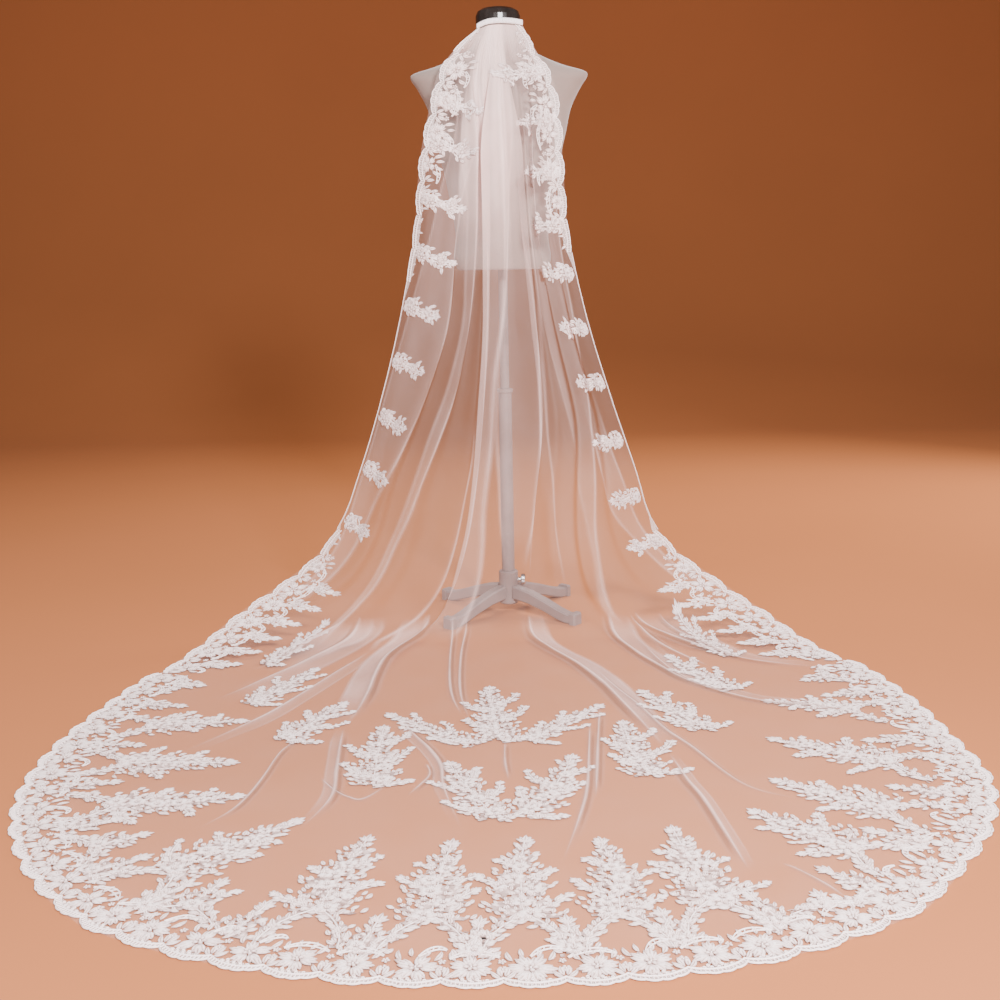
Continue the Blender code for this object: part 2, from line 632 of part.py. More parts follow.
# -------------------------------------------------- edging on the hanging sides
def side_lace(name, outer, labels, stations, left, material):
    """Lace strip along one hanging edge, made from the tulle's own points."""
    columns = [i for i in range(len(labels)) if (labels[i] <= -0.88 if left else labels[i] >= 0.905)]
    if not left:
        columns = columns[::-1]
    grid = outer[:, columns]
    normal = surface_normals(outer)[:, columns]
    rows = len(stations)
    run = np.concatenate([[0.0], np.cumsum(np.linalg.norm(np.diff(grid[:, 0], axis=0), axis=1))])
    depths = np.concatenate([np.zeros((rows, 1)),
                             np.cumsum(np.linalg.norm(np.diff(grid, axis=1), axis=2), axis=1)], 1)

    widen = np.maximum(1.0, SIDE_WIDTH * 1.9 / depths[:, -1])
    flat = np.stack([np.repeat(run[:, None], len(columns), axis=1), depths * widen[:, None]], -1)

    def corners(row, column):
        a, b = (row, column), (row, column + 1)
        c, d = (row + 1, column + 1), (row + 1, column)
        return ((a, d, c), (a, c, b)) if left else ((a, d, b), (b, d, c))

    def place(along, inward):
        row = int(np.clip(np.searchsorted(run, along, side="right") - 1, 0, rows - 2))
        best = None
        for column in range(len(columns) - 1):
            for three in corners(row, column):
                p, q, r = (flat[at] for at in three)
                area = (q[0] - p[0]) * (r[1] - p[1]) - (r[0] - p[0]) * (q[1] - p[1])
                second = ((along - p[0]) * (r[1] - p[1]) - (r[0] - p[0]) * (inward - p[1])) / area
                third = ((q[0] - p[0]) * (inward - p[1]) - (along - p[0]) * (q[1] - p[1])) / area
                shares = (1.0 - second - third, second, third)
                if best is None or min(shares) > min(best[0]):
                    best = (shares, three)
        shares, three = best
        point = sum(share * grid[at] for share, at in zip(shares, three))
        out = sum(np.clip(share, 0.0, 1.0) * normal[at] for share, at in zip(shares, three))
        out /= np.linalg.norm(out)
        low = point + out * LACE_GAP
        return tuple(low), tuple(low + out * WALL)

    total = run[-1]
    start = 0.012
    end = total - 0.002
    scallops = int(round((end - start) / SCALLOP))
    pitch = (end - start) / scallops
    outline = []
    for index in range(scallops):
        for share in (0.0, 0.33, 0.67):
            depth = SCALLOP_DEPTH * (0.35 - 1.0 * np.sin(np.pi * share))
            outline.append((start + (index + share) * pitch, depth))
    outline.append((end, SCALLOP_DEPTH * 0.35))
    back = []
    holes = []
    for index in range(scallops):
        first = start + index * pitch
        sprig = SIDE_WIDTH * (1.75 if index % SPRIG_EVERY else 1.15)
        back.append((first, SIDE_WIDTH * 0.85))
        back.append((first + 0.34 * pitch, SIDE_WIDTH * 0.95))
        back.append((first + 0.52 * pitch, sprig))
        back.append((first + 0.70 * pitch, SIDE_WIDTH * 0.90))
        if first > 0.15:
            holes.append(ring_of((first + 0.5 * pitch, 0.020), SIDE_HOLE_RADIUS, 5))
    back.append((end, SIDE_WIDTH * 0.85))
    outline += back[::-1]
    guides = [[(run[line], -0.05), (run[line], 0.15)] for line in range(1, rows - 1)]
    for column in range(len(columns)):
        guides.append([tuple(flat[line, column]) for line in range(rows)])
        if column:
            for line in range(rows - 1):
                ends = ((line, column - 1), (line + 1, column))
                if not left:
                    ends = ((line, column), (line + 1, column - 1))
                guides.append([tuple(flat[at]) for at in ends])
    lace_solid(name, outline, holes, place, material, guides)


# ------------------------------------------------------------------ dress form
def lofted(name, rings, material, smooth=True):
    """A closed body through rings of equally many points, with flat ends."""
    count = len(rings[0])
    points = [p for ring in rings for p in ring]
    faces = []
    for level in range(len(rings) - 1):
        for index in range(count):
            following = (index + 1) % count
            a = level * count + index
            b = level * count + following
            faces.append((a, b, b + count, a + count))
    faces.append(tuple(reversed(range(count))))
    faces.append(tuple((len(rings) - 1) * count + i for i in range(count)))
    thing = add_solid(name, points, faces, material, smooth)
    for face in thing.data.polygons:
        if len(face.vertices) > 4:
            face.use_smooth = False
    return thing


def ellipse_ring(z, half_width, half_depth, middle_y, segments):
    ring = []
    for index in range(segments):
        angle = 2.0 * np.pi * index / segments
        ring.append((half_width * np.cos(angle), middle_y + half_depth * np.sin(angle), z))
    return ring


def dress_form(slots):
    rings = [ellipse_ring(z, w, d, y, TORSO_SEGMENTS) for z, w, d, y in TORSO_ROWS]
    lofted("form_torso", rings, slots["form_cloth"])
    cap = [ellipse_ring(z, r, r * 0.95, 0.0, TORSO_SEGMENTS) for z, r in CAP_ROWS]
    lofted("form_neck_cap", cap, slots["cap_lacquer"])


def tube(name, rows, material, segments=POLE_SEGMENTS):
    lofted(name, [ellipse_ring(z, r, r, 0.0, segments) for z, r in rows], material)


def stand(slots):
    paint = slots["stand_paint"]
    ring_top = SLEEVE_TOP + RING_HEIGHT
    tube("stand_upper_pole", ((ring_top + SEAM_GAP, POLE_RADIUS),
                              (RIM_Z - SEAM_GAP, POLE_RADIUS)), paint)
    tube("stand_ring", ((SLEEVE_TOP + SEAM_GAP, RING_RADIUS - 0.001),
                        (SLEEVE_TOP + 0.0015, RING_RADIUS),
                        (ring_top - 0.001, RING_RADIUS),
                        (ring_top, RING_RADIUS - 0.001)), paint)
    tube("stand_sleeve", ((HUB_TOP + SEAM_GAP, SLEEVE_RADIUS), (SLEEVE_TOP, SLEEVE_RADIUS)), paint)
    tube("stand_hub", ((HUB_BOTTOM, HUB_RADIUS - 0.003), (HUB_BOTTOM + 0.003, HUB_RADIUS),
                       (HUB_TOP - 0.003, HUB_RADIUS), (HUB_TOP, HUB_RADIUS - 0.003)),
         paint, 24)
    for name, degrees in LEG_ROWS:
        leg(name, np.radians(degrees), slots)
    clamp_knob(slots)


def turned(along, sideways, z, angle):
    return (along * np.cos(angle) - sideways * np.sin(angle),
            along * np.sin(angle) + sideways * np.cos(angle), z)


def leg(name, angle, slots):
    """A flat bar that arches down from the hub, with a cap at its end."""
    rings = []
    rounding = 0.0035
    for reach, low, high in LEG_PROFILE:
        section = ((-LEG_HALF_WIDTH, low + rounding), (-LEG_HALF_WIDTH + rounding, low),
                   (LEG_HALF_WIDTH - rounding, low), (LEG_HALF_WIDTH, low + rounding),
                   (LEG_HALF_WIDTH, high - rounding), (LEG_HALF_WIDTH - rounding, high),
                   (-LEG_HALF_WIDTH + rounding, high), (-LEG_HALF_WIDTH, high - rounding))
        rings.append([turned(reach, s, z, angle) for s, z in section])
    lofted("stand_" + name, rings, slots["stand_paint"])
    foot = []
    for reach, shrink in ((FOOT_REACH[0], 0.0), (FOOT_REACH[1] - 0.004, 0.0), (FOOT_REACH[1], 0.004)):
        wide = FOOT_HALF_WIDTH - shrink
        top = FOOT_TOP - shrink
        section = ((-wide, 0.0), (wide, 0.0), (wide, top - rounding),
                   (wide - rounding, top), (-wide + rounding, top), (-wide, top - rounding))
        foot.append([turned(reach, s, z, angle) for s, z in section])
    lofted("stand_foot_" + name[4:], foot, slots["stand_paint"], smooth=False)


def clamp_knob(slots):
    """Round knob that clamps the pole in the hub; it turns about X."""
    rings = []
    for x, radius in ((KNOB_FROM, 0.005), (KNOB_NECK, 0.005), (KNOB_NECK + 0.0005, KNOB_RADIUS - 0.0015),
                      (KNOB_NECK + 0.002, KNOB_RADIUS), (KNOB_TO - 0.002, KNOB_RADIUS),
                      (KNOB_TO, KNOB_RADIUS - 0.002)):
        ring = []
        for index in range(20):
            angle = 2.0 * np.pi * index / 20
            ring.append((x, radius * np.cos(angle), KNOB_Z + radius * np.sin(angle)))
        rings.append(ring)
    lofted("stand_clamp_knob", rings, slots["knob_metal"])


def gathered_band(slots):
    """The stitched, gathered top edge of the veil, curved round the neck."""
    share = np.linspace(-1.0, 1.0, BAND_STEPS + 1)
    points = base_point(share * 0.97, np.full(share.shape, 0.0))
    rings = []
    for middle in points:
        back = middle[1] - BAND_DEPTH * 0.5
        low = middle[2] + 0.0016
        high = low + BAND_HEIGHT
        rings.append([(middle[0], back - BAND_DEPTH * 0.5, low + 0.001),
                      (middle[0], back - BAND_DEPTH * 0.5, high - 0.001),
                      (middle[0], back - BAND_DEPTH * 0.2, high),
                      (middle[0], back + BAND_DEPTH * 0.2, high),
                      (middle[0], back + BAND_DEPTH * 0.5, high - 0.001),
                      (middle[0], back + BAND_DEPTH * 0.5, low + 0.001),
                      (middle[0], back + BAND_DEPTH * 0.2, low),
                      (middle[0], back - BAND_DEPTH * 0.2, low)])
    lofted("gathered_band", rings, slots["satin"])


def main():
    clear_scene()
    slots = make_materials()
    stations = np.concatenate([LEVELS[:-1, COL_STATION], [HEM_STATION]])
    labels = thread_labels()
    outer, last = tulle_pieces(labels, stations, slots)
    side_lace("lace_left_edge", outer[:last + 1], labels, stations[:last + 1], True, slots["lace"])
    side_lace("lace_right_edge", outer[:last + 1], labels, stations[:last + 1], False, slots["lace"])
    train_lace(slots)
    motifs(slots, cloth_top(outer))
    gathered_band(slots)
    dress_form(slots)
    stand(slots)


main()
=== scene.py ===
import bpy
import numpy as np
from mathutils import Matrix, Vector
from mathutils.bvhtree import BVHTree


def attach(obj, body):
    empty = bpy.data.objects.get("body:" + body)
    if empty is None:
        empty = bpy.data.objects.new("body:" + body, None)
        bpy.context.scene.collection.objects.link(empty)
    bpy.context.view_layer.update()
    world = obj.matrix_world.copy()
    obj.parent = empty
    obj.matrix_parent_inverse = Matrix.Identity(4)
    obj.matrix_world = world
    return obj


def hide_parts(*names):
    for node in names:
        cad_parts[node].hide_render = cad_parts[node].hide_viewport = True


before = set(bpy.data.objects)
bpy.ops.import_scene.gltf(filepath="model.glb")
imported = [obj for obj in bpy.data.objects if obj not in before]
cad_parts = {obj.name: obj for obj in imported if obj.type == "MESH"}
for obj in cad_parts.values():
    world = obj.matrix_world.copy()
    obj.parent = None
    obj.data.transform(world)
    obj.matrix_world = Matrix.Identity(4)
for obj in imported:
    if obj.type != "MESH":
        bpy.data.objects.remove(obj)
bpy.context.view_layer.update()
BODY = "veil_and_stand"

# ----------------------------------------------------------- sizes of the cloth
MM = 1000.0                 # millimetres in a metre
POLE = np.array((0.0258, 0.7842, 0.0))
TOUCH_STATION = 1.84        # the whole width lies on the floor from here on
HEM_STATION = 3.088
SIDE_LIMIT = 0.985
NET_HEIGHT = 0.0007         # middle of the net above the floor
FLAT_WIDTH = 1.75
NET_THREADS = 341
NET_STATION_ROWS = (
    # first station, last, lines across the cloth
    (0.0, 0.30, 40),
    (0.30, 1.20, 80),
    (1.20, 1.84, 70),
    (1.84, HEM_STATION, 90),
)

# Level lines across the cloth, from the comb down to the floor and the hem.
LEVEL_ROWS = (
    # station, left x, left y, left z, right x, right y, right z, mid y, mid z, power
    (0.00, -50, -60, 1388, 58, -60, 1395, -74, 1399, 2.0),
    (0.07, -100, -80, 1346, 86, -80, 1340, -92, 1335, 2.0),
    (0.14, -140, -94, 1295, 120, -94, 1286, -108, 1270, 2.0),
    (0.22, -162, -104, 1219, 138, -104, 1210, -124, 1195, 3.0),
    (0.34, -188, -112, 1103, 144, -122, 1092, -140, 1085, 4.0),
    (0.50, -206, -110, 944, 154, -126, 932, -155, 930, 5.0),
    (0.68, -240, -112, 768, 190, -130, 755, -170, 755, 5.0),
    (0.88, -291, -114, 575, 247, -130, 563, -185, 560, 5.0),
    (1.08, -354, -114, 386, 311, -122, 375, -197, 365, 5.0),
    (1.22, -408, -112, 258, 356, -114, 243, -206, 225, 4.0),
    (1.32, -470, -112, 181, 421, -112, 168, -213, 130, 4.0),
    (1.42, -550, -134, 122, 503, -134, 112, -222, 58, 3.0),
    (1.51, -617, -180, 84, 565, -178, 72, -240, 19, 3.0),
    (1.59, -668, -240, 54, 615, -240, 47, -276, 3, 3.0),
    (1.67, -708, -312, 28, 656, -312, 24, -335, 0, 3.0),
    (1.75, -745, -385, 10, 695, -388, 9, -405, 0, 3.0),
    (1.84, -778, -465, 0, 738, -470, 0, -490, 0, 2.0),
    (2.05, -824, -680, 0, 784, -670, 0, -695, 0, 2.0),
    (2.30, -851, -930, 0, 797, -910, 0, -945, 0, 2.2),
    (2.55, -830, -1150, 0, 790, -1140, 0, -1200, 0, 2.4),
    (2.78, -759, -1337, 0, 715, -1330, 0, -1425, 0, 2.5),
    (2.95, -674, -1468, 0, 624, -1460, 0, -1594, 0, 2.5),
    (3.10, -588, -1561, 0, 542, -1559, 0, -1731, 0, 2.4),
)
COL_LEFT = 1
COL_RIGHT = 4
COL_MID_Y = 7
COL_MID_Z = 8
COL_POWER = 9
LEVELS = np.array(LEVEL_ROWS)
LEVELS[:, COL_LEFT:COL_POWER] /= MM
DROP_POWER = 2.6            # how late across the cloth it drops

# Long folds: place across the cloth at each station, which is also the fold's
# label at the first one.
FOLD_STATIONS = (0.00, 0.34, 0.68, 0.90, 1.14, 1.42, 1.84, 2.30, 3.10)
FOLD_ROWS = (
    # u at each of the fold stations, lean, hanging depth, floor height, floor end
    ((-0.80, -0.56, -0.60, -0.73, -0.82, -0.81, -0.85, -0.88, -0.85), 0.9, 0.030, 0.004, 1.70),
    ((-0.60, -0.36, -0.38, -0.48, -0.62, -0.62, -0.69, -0.77, -0.62), 0.6, 0.026, 0.010, 1.82),
    ((-0.40, -0.22, -0.25, -0.27, -0.31, -0.38, -0.54, -0.60, -0.42), 0.4, 0.016, 0.008, 1.80),
    ((-0.15, -0.08, -0.07, -0.11, -0.155, -0.26, -0.36, -0.355, -0.20), -0.9, 0.034, 0.014, 1.98),
    ((0.10, 0.18, 0.25, 0.24, 0.115, 0.04, 0.145, 0.33, 0.20), 0.8, 0.030, 0.011, 1.98),
    ((0.35, 0.36, 0.42, 0.43, 0.30, 0.25, 0.42, 0.52, 0.42), 0.3, 0.014, 0.007, 1.78),
    ((0.60, 0.60, 0.65, 0.68, 0.55, 0.45, 0.69, 0.80, 0.65), -0.6, 0.028, 0.010, 1.80),
    ((0.82, 0.80, 0.83, 0.85, 0.77, 0.74, 0.86, 0.90, 0.85), -0.8, 0.020, 0.004, 1.70),
)
FOLD_HALF_WIDTH = 0.052
FOLD_START = 0.05
FOLD_OPEN = 0.34
FOLD_SETTLE = 1.25
FOLD_FLOOR = 1.62
FOLD_FADE = 0.22
OUTER_FOLD = 0.75           # the folds beyond this lie under the wide lace, and
OUTER_FOLD_DELAY = 0.42     # open this much further down

# Panels where the hanging net lies double: their low and high edge across the
# cloth at each panel station, how many layers they add, how soft each edge is
# and how bright the fold at each edge is.
PANEL_STATIONS = (0.10, 0.25, 0.45, 0.65, 0.85, 1.00, 1.14, 1.27, 1.42, 1.62)
PANEL_ROWS = (
    # low edge, high edge, layers, low softness, high softness, low rim, high rim, first, last
    ((-0.62, -0.60, -0.76, -0.90, -0.97, -0.98, -0.98, -0.95, -0.92, -0.90),
     (-0.40, -0.36, -0.48, -0.58, -0.67, -0.77, -0.85, -0.86, -0.86, -0.86),
     1.7, 0.012, 0.020, 0.5, 0.8, 0.14, 1.50),
    ((-0.52, -0.52, -0.42, -0.42, -0.50, -0.60, -0.66, -0.685, -0.675, -0.66),
     (-0.38, -0.39, -0.31, -0.32, -0.43, -0.54, -0.62, -0.655, -0.650, -0.63),
     1.6, 0.020, 0.015, 0.4, 0.9, 0.14, 1.70),
    ((-0.42, -0.25, -0.19, -0.16, -0.17, -0.18, -0.22, -0.25, -0.28, -0.36),
     (0.12, 0.12, 0.10, 0.04, -0.035, -0.065, -0.105, -0.13, -0.17, -0.22),
     1.8, 0.012, 0.020, 1.4, 0.9, 0.02, 1.60),
    ((0.00, 0.02, 0.04, 0.02, -0.03, -0.05, -0.05, -0.03, -0.02, -0.02),
     (0.15, 0.20, 0.27, 0.27, 0.24, 0.20, 0.13, 0.05, 0.02, 0.02),
     1.3, 0.030, 0.014, 0.5, 1.3, 0.02, 1.30),
    ((0.20, 0.30, 0.38, 0.43, 0.53, 0.57, 0.57, 0.54, 0.45, 0.44),
     (0.80, 0.85, 0.86, 0.86, 0.80, 0.72, 0.64, 0.565, 0.48, 0.46),
     1.7, 0.060, 0.030, 0.3, 0.9, 0.10, 1.55),
    ((0.73, 0.73, 0.73, 0.73, 0.73, 0.73, 0.75, 0.84, 0.87, 0.88),
     (0.86, 0.86, 0.86, 0.86, 0.86, 0.86, 0.89, 0.92, 0.93, 0.94),
     1.5, 0.020, 0.016, 0.6, 0.7, 0.95, 1.50),
    ((-0.26, -0.26, -0.26, -0.26, -0.26, -0.25, -0.300, -0.335, -0.38, -0.46),
     (-0.24, -0.24, -0.24, -0.24, -0.24, -0.235, -0.285, -0.320, -0.365, -0.445),
     1.6, 0.010, 0.010, 0.6, 0.6, 1.00, 1.70),
    ((0.36, 0.36, 0.39, 0.40, 0.37, 0.34, 0.32, 0.31, 0.30, 0.30),
     (0.37, 0.37, 0.41, 0.42, 0.39, 0.35, 0.33, 0.32, 0.31, 0.31),
     0.8, 0.012, 0.012, 0.3, 0.3, 0.30, 1.35),
)
RIM_HALF_WIDTH = 0.0075
RIM_LAYERS = 4.6            # layers seen edge on in the fold at a panel's rim
PANEL_LAYERS = 0.85
EDGE_SHARPNESS = 0.4
FLOOR_LAYERS = 1.35         # fine wrinkles close the meshes where the net lies
LAYER_COVER = 0.055         # share that one layer of net hides

# Uneven gathers that fan out from the comb.
SMALL_GATHERS = (
    # share, waves across half the cloth, how far they wander, phase
    (0.6, 17.0, 1.0, 0.0),
    (0.4, 10.7, -1.0, 2.0),
)
LARGE_GATHERS = ((0.6, 5.5, 0.6, 0.8), (0.4, 3.1, 0.0, 0.0))
SMALL_RIPPLE = 0.0007
SMALL_RIPPLE_DOWN = (0.0, 0.06, 0.25, 0.75)         # stations: none, full, full, none
LARGE_RIPPLE = 0.0022
LARGE_RIPPLE_DOWN = (0.05, 0.30, 0.70, 1.30)
SPREAD_DOWN = (1.25, 1.95)  # stations over which the net comes to lie on the floor
COMB_LAYERS = 14.0
COMB_FADE = 0.07
GATHERED_LAYERS = 11.0      # pressed together in the middle, below the comb
GATHERED_ACROSS = (-0.56, -0.40, 0.06, 0.20)
GATHERED_DOWN = (0.22, 0.62)
STREAK_LAYERS = 0.9
STREAK_DOWN = (0.40, 0.95)
DENSE_LAYERS = 0.7          # to the right of the middle
DENSE_ACROSS = (0.24, 0.30, 0.55, 0.70)
DENSE_DOWN = (1.2, 1.4)

# Creases on the floor: points, half width, height, width of the doubled band
# beside it (positive to the right of the run), layers in the band, layers on the
# crease itself.
CREASE_ROWS = (
    (((-246, 50), (-320, -16), (-352, -123), (-388, -232), (-440, -285), (-496, -367),
      (-568, -464)), 10, 8, -70, 0.9, 1.8),
    (((-387, -30), (-408, -163), (-437, -269)), 6, 4, 0, 0.0, 1.2),
    (((-275, -19), (-315, -135), (-372, -274), (-447, -400), (-532, -541), (-610, -660)),
     9, 6, -60, 0.9, 1.0),
    (((-140, -60), (-167, -180), (-210, -261), (-251, -345), (-277, -433), (-290, -537),
      (-295, -633), (-305, -735), (-322, -823)), 11, 7, 55, 1.5, 1.4),
    (((-322, -823), (-316, -937), (-309, -1040), (-304, -1159), (-340, -1279)),
     8, 5, 22, 0.6, 0.9),
    (((-315, -333), (-371, -477), (-433, -637), (-476, -742), (-520, -817), (-611, -950)),
     7, 5, -30, 0.5, 1.0),
    (((-398, -872), (-421, -955), (-431, -1060), (-441, -1136), (-458, -1199), (-500, -1265)),
     6, 4, 0, 0.0, 1.0),
    (((-221, -796), (-183, -884), (-152, -955), (-129, -1031), (-120, -1127), (-86, -1290)),
     8, 5, 18, 0.5, 1.2),
    (((-156, -1012), (-148, -1075), (-180, -1153)), 6, 3, 0, 0.0, 0.8),
    (((-335, -1065), (-308, -1118), (-276, -1156), (-248, -1162), (-205, -1081)),
     5, 3, 0, 0.0, 0.9),
    (((-131, -160), (-136, -330), (-131, -547), (-120, -675), (-99, -770)), 7, 4, 0, 0.0, 1.0),
    (((-92, -190), (-109, -292), (-111, -493), (-104, -664), (-83, -804)), 7, 4, 0, 0.0, 1.0),
    (((33, -120), (50, -263), (92, -376), (144, -475), (186, -593), (218, -731), (247, -856),
      (272, -978)), 11, 7, -48, 1.5, 1.3),
    (((272, -978), (285, -1106), (301, -1197), (317, -1357), (327, -1441)), 8, 5, -18, 0.5, 1.0),
    (((171, -455), (206, -607), (248, -745), (280, -873), (314, -961), (377, -1136),
      (464, -1201)), 7, 5, 0, 0.0, 1.0),
    (((176, -90), (216, -174), (269, -358), (319, -494), (368, -598), (482, -729)),
     9, 6, -50, 0.9, 1.2),
    (((246, -158), (311, -281), (374, -410), (430, -501)), 7, 5, 0, 0.0, 1.0),
    (((222, -103), (276, -195), (346, -284), (425, -368), (517, -413)), 9, 6, -50, 0.8, 1.2),
    (((145, -817), (133, -961), (117, -1139), (98, -1248), (61, -1411)), 7, 4, 0, 0.0, 1.0),
    (((171, -728), (153, -912), (138, -1076), (128, -1180)), 7, 4, 0, 0.0, 0.9),
    (((-17, -913), (-18, -1010), (-12, -1099)), 6, 3, 0, 0.0, 0.7),
    (((286, -238), (349, -544), (464, -710), (595, -765), (687, -849)), 7, 5, -40, 0.5, 0.9),
    (((300, -140), (414, -314), (513, -456), (672, -517)), 7, 5, -45, 0.7, 0.8),
    (((377, -1418), (412, -1469), (444, -1528)), 5, 3, 0, 0.0, 0.7),
)
CREASE_STEPS = 70
CREASE_LIFT = 0.0008
CREASE_SHADE = 0.9          # how dark the painted shadow beside a crease is, on the side away from its band
CREASE_OVERALL_SHADE = 0.16          # and the painted shade over the whole of it
CREASE_LAYERS = 4.2         # layers pressed together in one pinched fold
RIDGE_LAYERS = 2.8
LEAST_COVER = 0.01          # thinner parts of a crease are left out
CREASE_TOP = 0.050          # no crease where the net stands higher than this, or ends
RIDGE_PLACES = (-2.2, -1.5, -1.0, -0.6, -0.25, 0.0, 0.25, 0.6, 1.0, 1.5, 2.2)   # half widths
BAND_PLACES = (0.55, 0.70, 0.85, 1.0, 1.08)                         # widths of the band

# ------------------------------------------------------------ sizes of the lace
SCALLOP = 0.078
SCALLOP_DEPTH = 0.012
SCALLOP_LOBES = 4
SCALLOP_LOBE = 0.0022
RIM_BAND = 0.0075           # between the two cords of the scalloped rim
RIM_BARS = 15
RIM_HEIGHT = 0.0020
EYELET_ROWS = ((0.26, 0.38, 0.50, 0.62, 0.74), (0.34, 0.46, 0.58))     # shares of a scallop
EYELET_PITCH = 0.0052
EDGE_WIDTH = 0.082
WIDE_EDGE = 0.045           # from here on an edging has room for large flowers
FOLDED_EDGE = 0.010         # below this the lace is turned under and only the fold shows
LACE_LIFT = 0.0012          # lace above the net
CORD_WIDTH = 0.0026
FINE_CORD = 0.0022
CORD_HEIGHT = 0.0012
PETAL_HEIGHT = 0.0026
LEAF_SPACING = 0.0098
LEAF_ROW = 0.0108           # one leaf for this much of a spray's half width
LEAF_LENGTH = 0.0112
LEAF_STOUTNESS = 0.52
OUTER_LEAF = 1.35           # the leaves at the edge of a spray are longer
TIER_PITCH = 0.046
TIER_DEPTH = 0.22
TIER_SHIFT = 1.3            # keeps the tiers of the two sides from pairing up
TIP_CLEAR = 0.018           # from a stem's end to the tip of its last leaf
SPRAY_FULLNESS = 1.10
BOUGH_PITCH = 0.040         # between the side branches of a spray
BOUGH_HALF_WIDTH = 0.013
FILL_STEP = 0.0055
FILL_SHARE = 0.84           # how far the close stitching goes towards the leaf tips
FILL_NOTCH = 0.80
FILL_PLACES = (-1.0, -0.75, -0.5, -0.25, 0.0, 0.25, 0.5, 0.75, 1.0)
FILL_GAPS = 0.30
FILL_HEIGHT = 0.0005
FILL_SHADES = (0.0, 0.42)    # painted shade of the close stitching under the leaves: darkest and palest
SIDE_FILL_SHADES = (0.50, 0.85)      # lighter painted shade where it hangs and is seen from both sides
TIP_FULL_FROM = 0.030       # half width from which a branch ends in full-size leaves
TIP_LEAVES = ((-0.85, 0.017), (-0.40, 0.020), (0.0, 0.025), (0.42, 0.020), (0.85, 0.017))
FLOWERLET_SHARE = 0.30
BLOOM_SHARE = 0.46          # a flower's radius for the spray's half width there
LEAST_BLOOM = 0.008
BLOOM_RADIUS = 0.0175
BLOOM_PITCH = 0.048
MOTIF_BLOOM_PITCH = 0.055
ROSETTE_FROM = 0.0120
ARM_SHARE = 0.28            # a spray's arms reach this far towards its tip
ARM_SPREAD = 0.058
ARM_HALF_WIDTH = 0.017
ARM_LEAD = 0.012
GROUND_DEPTH = 0.020
GROUND_STEP = 0.0026
BUSH_LENGTH = 0.105
BUSH_HALF_WIDTH = 0.031
SPRIG_LENGTH = 0.126
SPRIG_CLEAR = 0.45          # sprigs reach this share of the edging's width further in
LEFT_SPRIGS = (0.20, 0.30, 0.43, 0.555, 0.68, 0.81, 0.945, 1.075, 1.21)     # stations
RIGHT_SPRIGS = (0.12, 0.24, 0.36, 0.48, 0.59, 0.72, 0.85, 0.995, 1.135, 1.26)
FIRST_TUFT = 1.40           # from here on leafy tufts widen the edging inwards
LAST_TUFT = 1.82
TUFT_PITCH = 0.075
TUFT_REACH = 0.140
TUFT_HALF_WIDTH = 0.026
# How wide the hanging edging shows at each station; its rest is turned under.
LEFT_WIDTH_ROWS = (
    (0.00, 0.012), (0.08, 0.014), (0.10, 0.066), (0.26, 0.068), (0.34, 0.050), (0.46, 0.030),
    (0.60, 0.016), (0.66, 0.003), (1.22, 0.003), (1.34, 0.060), (1.44, EDGE_WIDTH),
)
RIGHT_WIDTH_ROWS = (
    (0.00, 0.022), (0.06, 0.040), (0.14, 0.074), (0.36, 0.068), (0.46, 0.040), (0.54, 0.018),
    (0.60, 0.003), (1.20, 0.003), (1.32, 0.060), (1.42, EDGE_WIDTH),
)
SIDE_ROWS = (
    # name, is it the left side, seed, slope of the sprigs, their stations, widths
    ("lace_left", True, 69, 0.030, LEFT_SPRIGS, LEFT_WIDTH_ROWS),
    ("lace_right", False, 70, 0.004, RIGHT_SPRIGS, RIGHT_WIDTH_ROWS),
)
EDGING_SEED = 11
LEFT_SPRAYS_SEED = 16
RIGHT_SPRAYS_SEED = 17
BUSHES_SEED = 23
FIRST_MOTIF_SEED = 40

# Short branches of a separate motif.
BRANCH_ROWS = (
    # hand, start along the stem, reach in half widths, how far it leans ahead
    (-1.0, 0.06, 1.05, 0.05),
    (1.0, 0.20, 0.95, 0.20),
    (-1.0, 0.36, 1.05, 0.20),
    (1.0, 0.52, 0.95, 0.16),
    (-1.0, 0.66, 0.75, 0.16),
)
SPRAY_ROWS = (
    # share along the edging, tip x, tip y, half width
    (0.018, (-640, -560), 36),
    (0.093, (-508, -780), 50),
    (0.148, (-485, -994), 55),
    (0.210, (-444, -1140), 56),
    (0.264, (-564, -1275), 38),
    (0.318, (-336, -1232), 58),
    (0.360, (-417, -1430), 38),
    (0.418, (-226, -1298), 56),
    (0.469, (-99, -1318), 52),
    (0.508, (10, -1312), 52),
    (0.547, (123, -1321), 52),
    (0.590, (235, -1285), 54),
    (0.640, (402, -1500), 32),
    (0.700, (362, -1232), 58),
    (0.752, (421, -1113), 54),
    (0.822, (456, -925), 55),
    (0.905, (489, -722), 46),
    (0.978, (594, -606), 34),
)
MOTIF_ROWS = (
    # name, foot x and y, tip x and y, half width
    ("crown_middle", (-22, -928), (-48, -598), 62),
    ("crown_left", (-54, -936), (-250, -752), 40),
    ("crown_right", (19, -930), (178, -723), 40),
    ("vee_left", (-28, -1262), (-120, -1004), 54),
    ("vee_right", (12, -1251), (105, -983), 54),
    ("inner_left", (-240, -1121), (-246, -817), 58),
    ("inner_right", (233, -1103), (205, -815), 58),
    ("middle_left", (-424, -906), (-333, -676), 50),
    ("middle_right", (364, -889), (256, -640), 50),
    ("outer_left", (-532, -698), (-420, -448), 46),
    ("outer_right", (457, -667), (342, -404), 46),
    ("slope_left", (-545, -440), (-425, -215), 34),
    ("slope_right", (490, -440), (388, -200), 34),
)
BARE_MOTIFS = ("slope_left", "slope_right")     # these stand for no CAD node

